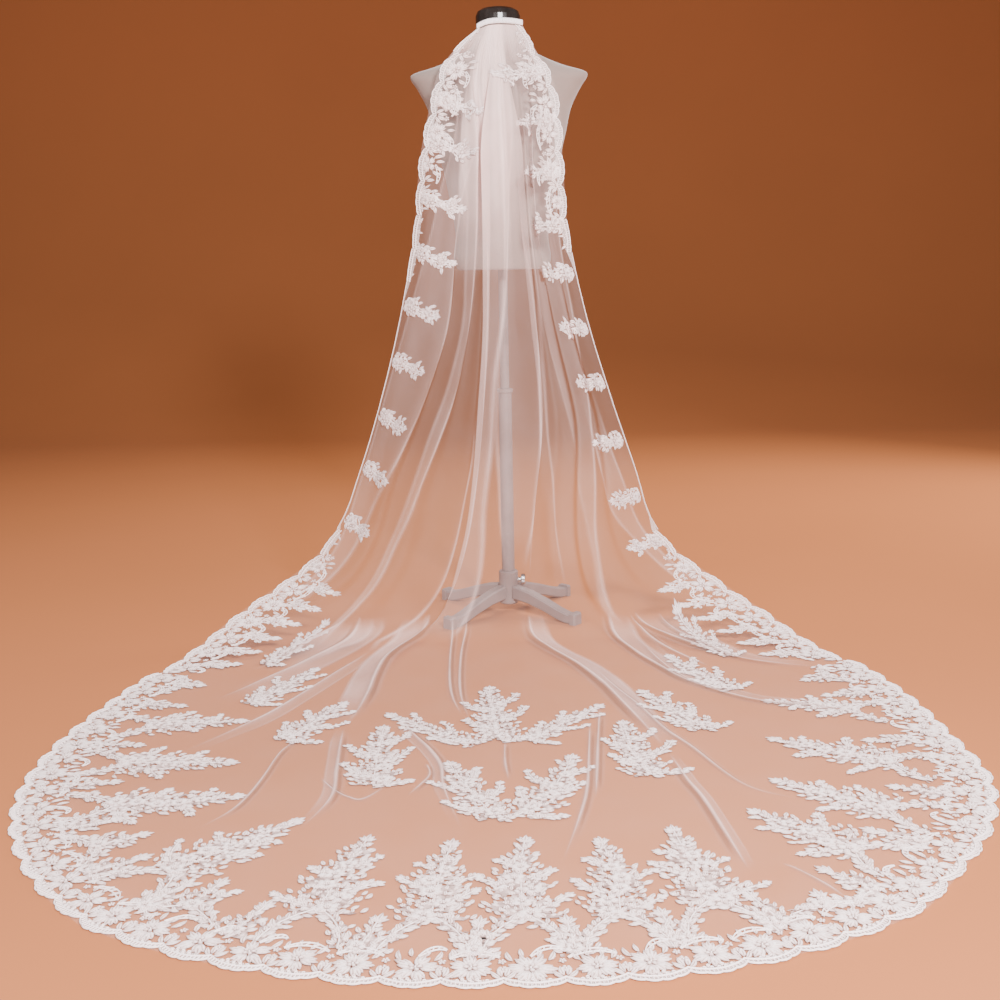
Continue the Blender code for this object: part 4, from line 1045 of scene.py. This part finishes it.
    def banana(self, start, bend, end, width):
        """A curved leaf-shaped band: cords on its edges, short bars between."""
        line = bezier(start, bend, end, 11)
        half = 0.5 * width * np.sin(np.pi * np.linspace(0.06, 0.94, 11))[:, None]
        out = left_of(unit(np.gradient(line, axis=0))) * half
        self.cord(line + out, FINE_CORD)
        self.cord(line - out, FINE_CORD)
        for at in range(2, 9, 2):
            self.cord([line[at] - out[at], line[at + 1] + out[at + 1]], FINE_CORD, CORD_HEIGHT)

    def mesh(self, name, chart, material):
        flat, height, tone_and_shade = joined(self.patches)
        thing = new_mesh(name, chart.lay(flat, height), np.concatenate(self.faces), material)
        paint(thing, "tone_and_shade", tone_and_shade)
        return thing


class Stem:
    """A curved stem of leafy lace: places beside it, and how wide it is there."""

    def __init__(self, line, reach):
        self.line = line
        self.runs = run_lengths(line)
        self.total = self.runs[-1]
        self.reach = reach

    def place(self, run, offset=0.0):
        """A place beside the stem, and the stem's angle there."""
        here, ahead, behind = places_along([run, run + 0.01, run - 0.01], self.runs, self.line)
        heading = (ahead - behind) / np.linalg.norm(ahead - behind)
        return here + left_of(heading) * offset, np.arctan2(heading[1], heading[0])

    def width(self, run, hand):
        wave = np.cos(2.0 * np.pi * run / TIER_PITCH + (TIER_SHIFT if hand > 0.0 else 0.0))
        return self.reach(run / self.total) * (0.92 + TIER_DEPTH * wave)


def foliage(threads, line, reach, blooms):
    """Leaves in tiers on both sides of a curved stem, with flowers on it."""
    stem = Stem(line, reach)
    close_stitching(threads, stem)
    threads.cord(line, CORD_WIDTH, CORD_HEIGHT)
    steps = max(3, int(stem.total / LEAF_SPACING))
    for index in range(steps):
        run = (index + 0.5) / steps * stem.total
        for hand in (-1.0, 1.0):
            leaf_row(threads, stem, run, hand)
    for index in range(blooms):
        run = (index + 0.35) / blooms * stem.total
        wide = reach(run / stem.total)
        radius = np.clip(BLOOM_SHARE * wide, LEAST_BLOOM, BLOOM_RADIUS) * threads.vary(0.9, 1.1)
        place = stem.place(run, threads.vary(-0.35, 0.35) * wide)[0]
        draw = threads.rosette if radius > ROSETTE_FROM else threads.flower
        draw(place, radius, threads.petals(), PETAL_HEIGHT, 0.0010)
    full = np.clip(reach(0.0) / TIP_FULL_FROM, 0.6, 1.0)
    place, forward = stem.place(stem.total - 0.006)
    for fan, length in TIP_LEAVES:
        threads.leaf(place, forward + fan, full * length, 0.36 * full * length, 0.2 * fan)


def leaf_row(threads, stem, run, hand):
    """Leaves and flowerlets from the stem out to one side, the outermost largest."""
    vary = threads.vary
    wide = stem.width(run, hand)
    rows = max(1, int(round(wide / LEAF_ROW)))
    for row in range(rows):
        outermost = row == rows - 1
        out = hand * wide * (row + vary(0.0, 0.35)) / rows
        start, forward = stem.place(run + vary(-0.45, 0.45) * LEAF_SPACING, out)
        if not outermost and vary(0.0, 1.0) < FLOWERLET_SHARE:
            threads.flower(start, vary(0.0045, 0.0062), 5, PETAL_HEIGHT, 0.0006, fine=False)
            continue
        length = LEAF_LENGTH * vary(0.85, 1.15) * (OUTER_LEAF if outermost else 1.0)
        length = min(length, 1.3 * wide)
        angle = forward + hand * (vary(0.60, 1.30) if outermost else vary(0.0, 1.6))
        threads.leaf(start, angle, length, LEAF_STOUTNESS * length, -hand * vary(0.1, 0.8),
                     vary(0.0018, 0.0028))


def close_stitching(threads, stem):
    """Close stitching under the leaves, with open meshes and a notched edge."""
    rows = []
    for index, run in enumerate(np.linspace(0.0, stem.total, max(4, int(stem.total / FILL_STEP)))):
        notch = FILL_SHARE * (1.0 if index % 2 else FILL_NOTCH)
        rows.append([stem.place(run, notch * stem.width(run, np.sign(place)) * place)[0]
                     for place in FILL_PLACES])
    flat = np.array(rows)
    height = np.full(flat.shape[:2], FILL_HEIGHT)
    height[:, (0, -1)] = 0.0
    # painted shade: the close stitching under the leaves is dark, varied at random
    threads.grid(flat, height, threads.rng.uniform(*threads.fill_shades, height.shape), FILL_GAPS)


def tapering(half_width, tip_share=0.16):
    """Half width of a spray from its foot to its tip."""
    return lambda share: half_width * (1.0 - (1.0 - tip_share) * share ** 1.35)


def axes(foot, tip):
    """From foot to tip, the direction to its left, and its length."""
    axis = np.subtract(tip, foot)
    length = np.linalg.norm(axis)
    return axis, left_of(axis) / length, length


def spray(threads, foot, tip, half_width, sway=0.0, arms=True):
    """A pyramid of leaves; two leafy arms with a window between carry it."""
    axis, side, length = axes(foot, tip)
    root = foot + axis * (ARM_SHARE if arms else 0.0)
    bend = 0.5 * (root + tip) + side * sway * length
    stem = bezier(root, bend, tip - axis / length * TIP_CLEAR, 12)
    foliage(threads, stem, tapering(SPRAY_FULLNESS * half_width), max(2, int(length / BLOOM_PITCH)))
    if not arms:
        return
    boughs(threads, stem, half_width)
    ahead = axis / length * ARM_LEAD
    for hand in (-1.0, 1.0):
        out = foot + side * hand * (ARM_SPREAD * threads.vary(0.9, 1.1)) + ahead
        elbow = foot + side * hand * 0.85 * ARM_SPREAD + axis * 0.75 * ARM_SHARE
        foliage(threads, bezier(out, elbow, root + ahead, 9), tapering(ARM_HALF_WIDTH, 0.8), 1)


def boughs(threads, stem, half_width):
    """Side branches that stand out of a spray, no two alike."""
    count = len(stem) - 1
    length = np.linalg.norm(stem[-1] - stem[0])
    hand = 1.0 if threads.vary(-1.0, 1.0) > 0.0 else -1.0
    for step in range(1, int(length / BOUGH_PITCH)):
        share = (step + threads.vary(-0.25, 0.25)) * BOUGH_PITCH / length
        at = min(int(share * count), count - 1)
        heading = np.arctan2(*(stem[at + 1] - stem[at])[::-1])
        wide = tapering(half_width)(share) * threads.vary(1.15, 1.60)
        angle = heading + hand * threads.vary(0.75, 1.25)
        root = stem[at] + turned(heading + hand * 0.5 * np.pi) * 0.3 * wide
        end = root + turned(angle) * 0.9 * wide
        bend = 0.5 * (root + end) - turned(heading) * threads.vary(-0.1, 0.25) * wide
        foliage(threads, bezier(root, bend, end, 7), tapering(BOUGH_HALF_WIDTH, 0.5), 1)
        hand = -hand


def branching(threads, foot, tip, half_width, sway):
    """A separate motif: a spray with short branches on both sides."""
    axis, side, length = axes(foot, tip)
    bend = foot + 0.5 * axis + side * sway * length
    stem = bezier(foot + 0.06 * axis, bend, foot + axis * (1.0 - TIP_CLEAR / length), 12)
    blooms = max(2, int(length / MOTIF_BLOOM_PITCH))
    foliage(threads, stem, tapering(0.80 * half_width, 0.30), blooms)
    for hand, start, out, ahead in BRANCH_ROWS:
        base = foot + axis * (start + threads.vary(-0.03, 0.03))
        reach = out * half_width * threads.vary(0.85, 1.15)
        branch = bezier(base, base + side * hand * 0.6 * reach,
                        base + side * hand * reach + axis * ahead, 7)
        foliage(threads, branch, tapering(0.24 * half_width, 0.6), 1)


def scallop_wave(share, width):
    """How far in from the edging's line one big scallop runs, less on a narrow edging."""
    full = ease(width, 0.5 * FOLDED_EDGE, WIDE_EDGE)
    return full * SCALLOP_DEPTH * (1.0 - np.sin(np.pi * share) ** 0.8)


def scallop_depth(share, width):
    """Outer edge of the lace: one big scallop made up of small lobes."""
    lobes = SCALLOP_LOBE * (1.0 - np.abs(np.sin(SCALLOP_LOBES * np.pi * share)) ** 0.7)
    return scallop_wave(share, width) + ease(width, 0.5 * FOLDED_EDGE, WIDE_EDGE) * lobes


def border_scallop(threads, start, pitch, width):
    """The scalloped rim: two cords with bars between, and eyelets inside it."""
    share = np.linspace(0.0, 1.0, 33)
    run = start + share * pitch
    inner = scallop_wave(share, width) + SCALLOP_LOBE
    band = min(RIM_BAND, 0.4 * width)
    threads.cord(np.stack([run, scallop_depth(share, width)], -1), CORD_WIDTH, RIM_HEIGHT)
    threads.cord(np.stack([run, inner + band], -1), 0.0024, RIM_HEIGHT)
    for bar in np.linspace(0.03, 0.97, RIM_BARS):
        at = start + bar * pitch
        depth = np.interp(bar, share, inner)
        line = [(at, depth), (at + 0.0008, depth + 0.5 * band), (at, depth + band)]
        threads.cord(line, 0.0019, 0.0014)
    if width < WIDE_EDGE:
        return
    for rank, places in enumerate(EYELET_ROWS):
        for place in places:
            depth = np.interp(place, share, inner) + band + 0.0036 + EYELET_PITCH * rank
            threads.eyelet((start + place * pitch, depth), 0.0021, 0.0013)


def edging_scallop(threads, start, pitch, width):
    """One repeat of the edging: rim, a large flower, leaves and curved bands."""
    vary = threads.vary
    if width < FOLDED_EDGE:
        fold = [(start, 0.0012), (start + 0.5 * pitch, 0.0008), (start + pitch, 0.0012)]
        threads.cord(fold, 0.0013, 0.0010)
        return
    border_scallop(threads, start, pitch, width)
    middle = start + pitch * (0.5 + vary(-0.07, 0.07))
    if width < WIDE_EDGE:
        narrow_edging(threads, start, pitch, width)
        return
    depth = 0.52 * width + vary(-0.002, 0.002)
    radius = 0.36 * width * vary(0.9, 1.08)
    threads.rosette((middle, depth), 1.08 * radius, threads.petals(), 0.0028)
    for hand in (-1.0, 1.0):
        cusp = start + (0.5 + 0.5 * hand) * pitch
        rim = SCALLOP_DEPTH + RIM_BAND
        for x, y, turn, length, stout, bend in (
                (cusp - hand * 0.003, rim + 0.001, 1.05, 0.021, 0.0075, -0.6),
                (cusp - hand * 0.002, rim + 0.006, 0.45, 0.021, 0.0080, -0.4),
                (middle + hand * 0.75 * radius, depth + 0.62 * radius, -0.9, 0.024, 0.0085, 0.9),
                (middle + hand * 0.30 * radius, depth + 0.92 * radius, -0.5, 0.020, 0.0075, 0.5)):
            threads.leaf((x, y), 0.5 * np.pi + hand * turn, length, stout, hand * bend)
    threads.flower((start + vary(-0.003, 0.003), 0.50 * width), 0.0085, 5, 0.0024)
    threads.flower((start + vary(-0.003, 0.003), 0.72 * width), 0.0065, 5, 0.0022, fine=False)
    if vary(0.0, 1.0) < 0.6:
        threads.banana((start + 0.08 * pitch, 0.80 * width), (middle, 1.16 * width),
                       (start + 0.94 * pitch, 0.84 * width), 0.0080)
    else:
        threads.banana((middle, depth + 0.9 * radius), (middle + 0.25 * pitch, 1.25 * width),
                       (start + 1.02 * pitch, 1.05 * width), 0.0075)


def narrow_edging(threads, start, pitch, width):
    """Where the edge is turned under only small leaves show inside the rim."""
    room = width - RIM_BAND
    for place in (0.2, 0.5, 0.8):
        at = (start + place * pitch, RIM_BAND + 0.35 * room + 0.002)
        if room > 0.010:
            threads.flower(at, min(0.40 * room, 0.0075), 5, 0.0022, fine=False)
        angle = threads.vary(0.8, 2.3)
        threads.leaf(at, angle, 0.6 * room + 0.004, 0.0050, threads.vary(-0.6, 0.6))


def sprig_width(share):
    """Half width along a hanging sprig: two joined tufts."""
    return 0.022 + 0.007 * np.cos(4.0 * np.pi * (share - 0.20)) - 0.006 * share


def side_sprig(threads, run, length, slope):
    """A lying sprig of two joined tufts that starts just inside the edge."""
    line = bezier((run - 0.5 * slope, 0.012), (run + 0.012, 0.5 * length),
                  (run + 0.5 * slope, length - 0.016), 9)
    foliage(threads, line, sprig_width, 2)
    threads.flower((run + 0.006, 0.28 * length), 0.0135, 6, 0.0028, 0.0016)
    threads.flower((run + 0.007, 0.66 * length), 0.0115, 5, 0.0026, 0.0016)


def side_tuft(threads, run):
    """A short leafy tuft that widens the edging inwards."""
    line = bezier((run, 0.8 * EDGE_WIDTH), (run + 0.014, 1.3 * EDGE_WIDTH),
                  (run + 0.006, TUFT_REACH), 8)
    foliage(threads, line, tapering(TUFT_HALF_WIDTH, 0.4), 1)


def ground_strip(name, chart, pitch, width_of, material):
    """Net under the scalloped rim, beyond the edge of the plain cloth."""
    runs = np.linspace(0.0, chart.total, int(chart.total / GROUND_STEP))
    widths = width_of(runs)
    outer = scallop_depth(np.mod(runs / pitch, 1.0), widths)
    inner = np.minimum(GROUND_DEPTH, widths)
    mix = np.linspace(0.0, 1.0, 4)
    across = outer[:, None] * (1.0 - mix) + inner[:, None] * mix
    flat = np.stack([np.broadcast_to(runs[:, None], across.shape), across], -1).reshape(-1, 2)
    points = chart.lay(flat, np.full(len(flat), -0.0005))
    thing = new_mesh(name, points, grid_faces(*across.shape), material)
    paint_flat_places(thing, flat)
    return thing


# -------------------------------------------------------------------- build it
def add_camera():
    lens = bpy.data.cameras.new("photo_camera")
    lens.sensor_width = 36.0
    lens.lens = CAMERA_LENS
    camera = bpy.data.objects.new("photo_camera", lens)
    bpy.context.collection.objects.link(camera)
    camera.location = (POLE[0] + CAMERA_X, POLE[1] - CAMERA_DISTANCE, CAMERA_HEIGHT)
    tilt = Matrix.Rotation(np.radians(90.0 - CAMERA_PITCH), 4, "X")
    roll = Matrix.Rotation(np.radians(-CAMERA_ROLL), 4, "Z")
    camera.rotation_euler = (tilt @ roll).to_euler()
    bpy.context.scene.camera = camera


def add_lights():
    for name, place, aim, width, height, power, colour in LIGHT_ROWS:
        data = bpy.data.lights.new(name, "AREA")
        data.shape = "RECTANGLE"
        data.size = width
        data.size_y = height
        data.energy = power
        data.color = colour
        lamp = bpy.data.objects.new(name, data)
        lamp.location = place
        lamp.rotation_euler = (Vector(aim) - Vector(place)).to_track_quat("-Z", "Y").to_euler()
        lamp.visible_glossy = name not in UNMIRRORED_LIGHTS
        bpy.context.collection.objects.link(lamp)
    world = bpy.data.worlds.new("studio")
    world.use_nodes = True
    background = world.node_tree.nodes["Background"]
    background.inputs["Color"].default_value = WORLD_COLOUR
    background.inputs["Strength"].default_value = WORLD_STRENGTH
    bpy.context.scene.world = world


def backdrop():
    """A plain warm floor that curves up far behind."""
    n = Nodes("studio_floor")
    cloudy = n.noise(n.object_place(), 1.1)
    darker = [0.96 * part for part in FLOOR_COLOUR]
    colour = n.ramp(cloudy, (0.3, *darker), (0.7, *FLOOR_COLOUR))
    bend = [(WALL_Y + WALL_BEND * np.sin(turn), WALL_BEND * (1.0 - np.cos(turn)))
            for turn in np.linspace(0.0, 0.5 * np.pi, 25)]
    profile = [(-ROOM, 0.0)] + bend + [(WALL_Y + WALL_BEND, ROOM)]
    points = np.array([(x, y, z) for y, z in profile for x in (-ROOM, ROOM)])
    new_mesh("floor", points - POLE, grid_faces(len(profile), 2, flip=True),
                      n.look(Base_Color=colour, Roughness=0.9))


def form_cover(material):
    """The jersey over the dress form, on the solid's own profile."""
    keys, *columns = np.array(TORSO_ROWS).T / MM
    steps = [np.linspace(low, high, TORSO_STEPS) for low, high in zip(keys, keys[1:])]
    heights = np.unique(np.concatenate(steps))[:, None]
    half_width, half_depth, middle = [smooth_between(keys, column, heights) for column in columns]
    turns = np.linspace(0.0, 2.0 * np.pi, TORSO_TURNS)[None, :]
    skin = np.stack([half_width * np.cos(turns), middle + half_depth * np.sin(turns),
                     heights + 0.0 * turns], -1)
    ring = list(range(TORSO_TURNS - 1))
    last = (len(heights) - 1) * TORSO_TURNS
    faces = grid_faces(len(heights), TORSO_TURNS, flip=True).tolist()
    faces += [ring[::-1], [last + index for index in ring]]
    cover = new_mesh("form_cover", skin, faces, material)
    for end in cover.data.polygons[-2:]:
        end.use_smooth = False
    return cover


def gathered_band(material):
    """Ruched satin band that holds the gathers at the comb."""
    share = np.linspace(-1.0, 1.0, BAND_STEPS)
    middle = base_point(share * BAND_SHARE, np.zeros(BAND_STEPS))[:, None, :]
    turns = np.linspace(0.0, 2.0 * np.pi, BAND_TURNS)[None, :]
    share = share[:, None]
    ruche = 0.00075 * np.sin(2.0 * np.pi * (17.0 * share + 0.3 * np.sin(5.0 * share)))
    ruche = ruche + 0.0004 * np.sin(2.0 * np.pi * 29.0 * share + 1.0)
    waist = 1.0 - 0.25 * np.abs(np.cos(turns)) * (np.abs(np.sin(turns)) < 0.35)
    deep = (0.0021 + ruche) * waist
    tall = 0.0060 + 0.5 * ruche
    points = np.stack([middle[..., 0] + 0.0 * turns,
                       middle[..., 1] - 0.0026 + deep * np.cos(turns),
                       middle[..., 2] + 0.0083 + tall * np.sin(turns)], -1)
    return new_mesh("gathered_top_band", points, grid_faces(BAND_STEPS, BAND_TURNS), material)


def lay_net(material):
    """The net itself, with its layers painted on as cover."""
    labels = np.linspace(-1.0, 1.0, NET_THREADS)
    stations = np.unique(np.concatenate([np.linspace(*row) for row in NET_STATION_ROWS]))
    points, normals, layers, u, station = net_surface(labels, stations)
    faces = grid_faces(len(stations), len(labels)).tolist()
    cloth = new_mesh("net_body", points, faces, material)
    paint(cloth, "cover", cover_of(layers))
    paint_flat_places(cloth, np.stack([u * 0.5 * FLAT_WIDTH, station], -1))
    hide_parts("tulle_fall", "tulle_sweep", "tulle_train")
    tree = BVHTree.FromPolygons([Vector(p) for p in points.reshape(-1, 3)], faces)
    return cloth, points, normals, stations, tree


def scallops(threads, chart, width_of):
    """Even scallops all along one chart; gives back their pitch."""
    count = int(round(chart.total / SCALLOP))
    pitch = chart.total / count
    for index in range(count):
        edging_scallop(threads, index * pitch, pitch, float(width_of((index + 0.5) * pitch)))
    return pitch


def train_edging(chart, material, ground):
    def full_width(runs):
        return np.full(np.shape(runs), EDGE_WIDTH)

    threads = Threads(EDGING_SEED)
    pitch = scallops(threads, chart, full_width)
    edging = threads.mesh("lace_train_threads", chart, material)
    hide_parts("lace_train_edge")
    return [edging, ground_strip("lace_train_ground", chart, pitch, full_width, ground)]


def train_sprays(chart, floor, material):
    """Long sprays that grow out of the edging, and low bushes between them."""
    pieces = []
    middle = len(SPRAY_ROWS) // 2
    for name, seed, rows in (("lace_sprays_left", LEFT_SPRAYS_SEED, SPRAY_ROWS[:middle]),
                             ("lace_sprays_right", RIGHT_SPRAYS_SEED, SPRAY_ROWS[middle:])):
        threads = Threads(seed)
        for share, tip, half_width in rows:
            foot = chart.floor_place(share * chart.total, EDGE_WIDTH * 0.80)
            sway = threads.vary(-0.05, 0.05)
            spray(threads, foot, np.array(tip) / MM, half_width / MM, sway)
        pieces.append(threads.mesh(name, floor, material))
    threads = Threads(BUSHES_SEED)
    root = EDGE_WIDTH * 0.85
    for before, after in zip(SPRAY_ROWS[:-1], SPRAY_ROWS[1:]):
        run = 0.5 * (before[0] + after[0]) * chart.total
        tip = chart.floor_place(run + threads.vary(-0.01, 0.01), root + BUSH_LENGTH)
        spray(threads, chart.floor_place(run, root), tip, BUSH_HALF_WIDTH, arms=False)
    pieces.append(threads.mesh("lace_train_bushes", floor, material))
    return pieces


def floor_motifs(floor, material):
    pieces = []
    for name, foot, tip, half_width in MOTIF_ROWS:
        threads = Threads(FIRST_MOTIF_SEED + len(pieces))
        sway = threads.vary(-0.07, 0.07)
        branching(threads, *(np.array((foot, tip)) / MM), half_width / MM, sway)
        motif = threads.mesh("motif_" + name, floor, material)
        if name not in BARE_MOTIFS:
            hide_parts("applique_" + name)
        pieces.append(motif)
    return pieces


def hanging_edging(name, chart, seed, slope, sprigs, width_rows, material, ground):
    """Edging, small sprigs and tufts of one hanging side."""
    def width_of(runs):
        return chart.width_at(runs, width_rows)

    threads = Threads(seed, SIDE_FILL_SHADES)
    pitch = scallops(threads, chart, width_of)
    for run in map(chart.run_at, sprigs):
        side_sprig(threads, run, SPRIG_LENGTH + SPRIG_CLEAR * float(width_of(run)), slope)
    for station in np.arange(FIRST_TUFT, LAST_TUFT, TUFT_PITCH):
        side_tuft(threads, chart.run_at(station))
    strip = threads.mesh(name + "_threads", chart, material)
    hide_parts(name + "_edge")
    return [strip, ground_strip(name + "_ground", chart, pitch, width_of, ground)]


def paint_the_form():
    materials = {"form_torso": jersey_material(), "form_neck_cap": lacquer_material(),
                 "stand_clamp_knob": knob_material()}
    metal = paint_material()
    for node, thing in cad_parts.items():
        if node in materials or node.startswith("stand_"):
            thing.material_slots[0].material = materials.get(node, metal)


def main():
    add_camera()
    add_lights()
    backdrop()
    paint_the_form()
    ground = ground_material()
    thread = thread_material()
    cloth, points, normals, stations, tree = lay_net(tulle_material())
    floor = FloorChart(tree)
    creases = crease_ribbons(floor, cloth.data.materials[0])
    train = TrainChart(tree)
    lace = train_edging(train, thread, ground) + train_sprays(train, floor, thread)
    lace += floor_motifs(floor, thread)
    for name, is_left, *look in SIDE_ROWS:
        side = SideChart(points, normals, stations, is_left)
        lace += hanging_edging(name, side, *look, thread, ground)
    band = gathered_band(satin_material())
    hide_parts("gathered_band")
    cover = form_cover(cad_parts["form_torso"].material_slots[0].material)
    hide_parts("form_torso")
    slots = [(cloth, "tulle"), (creases, "tulle"), (band, "satin"), (cover, "form_cloth")]
    for piece, slot in slots + [(piece, "lace") for piece in lace]:
        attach(piece, BODY)


main()
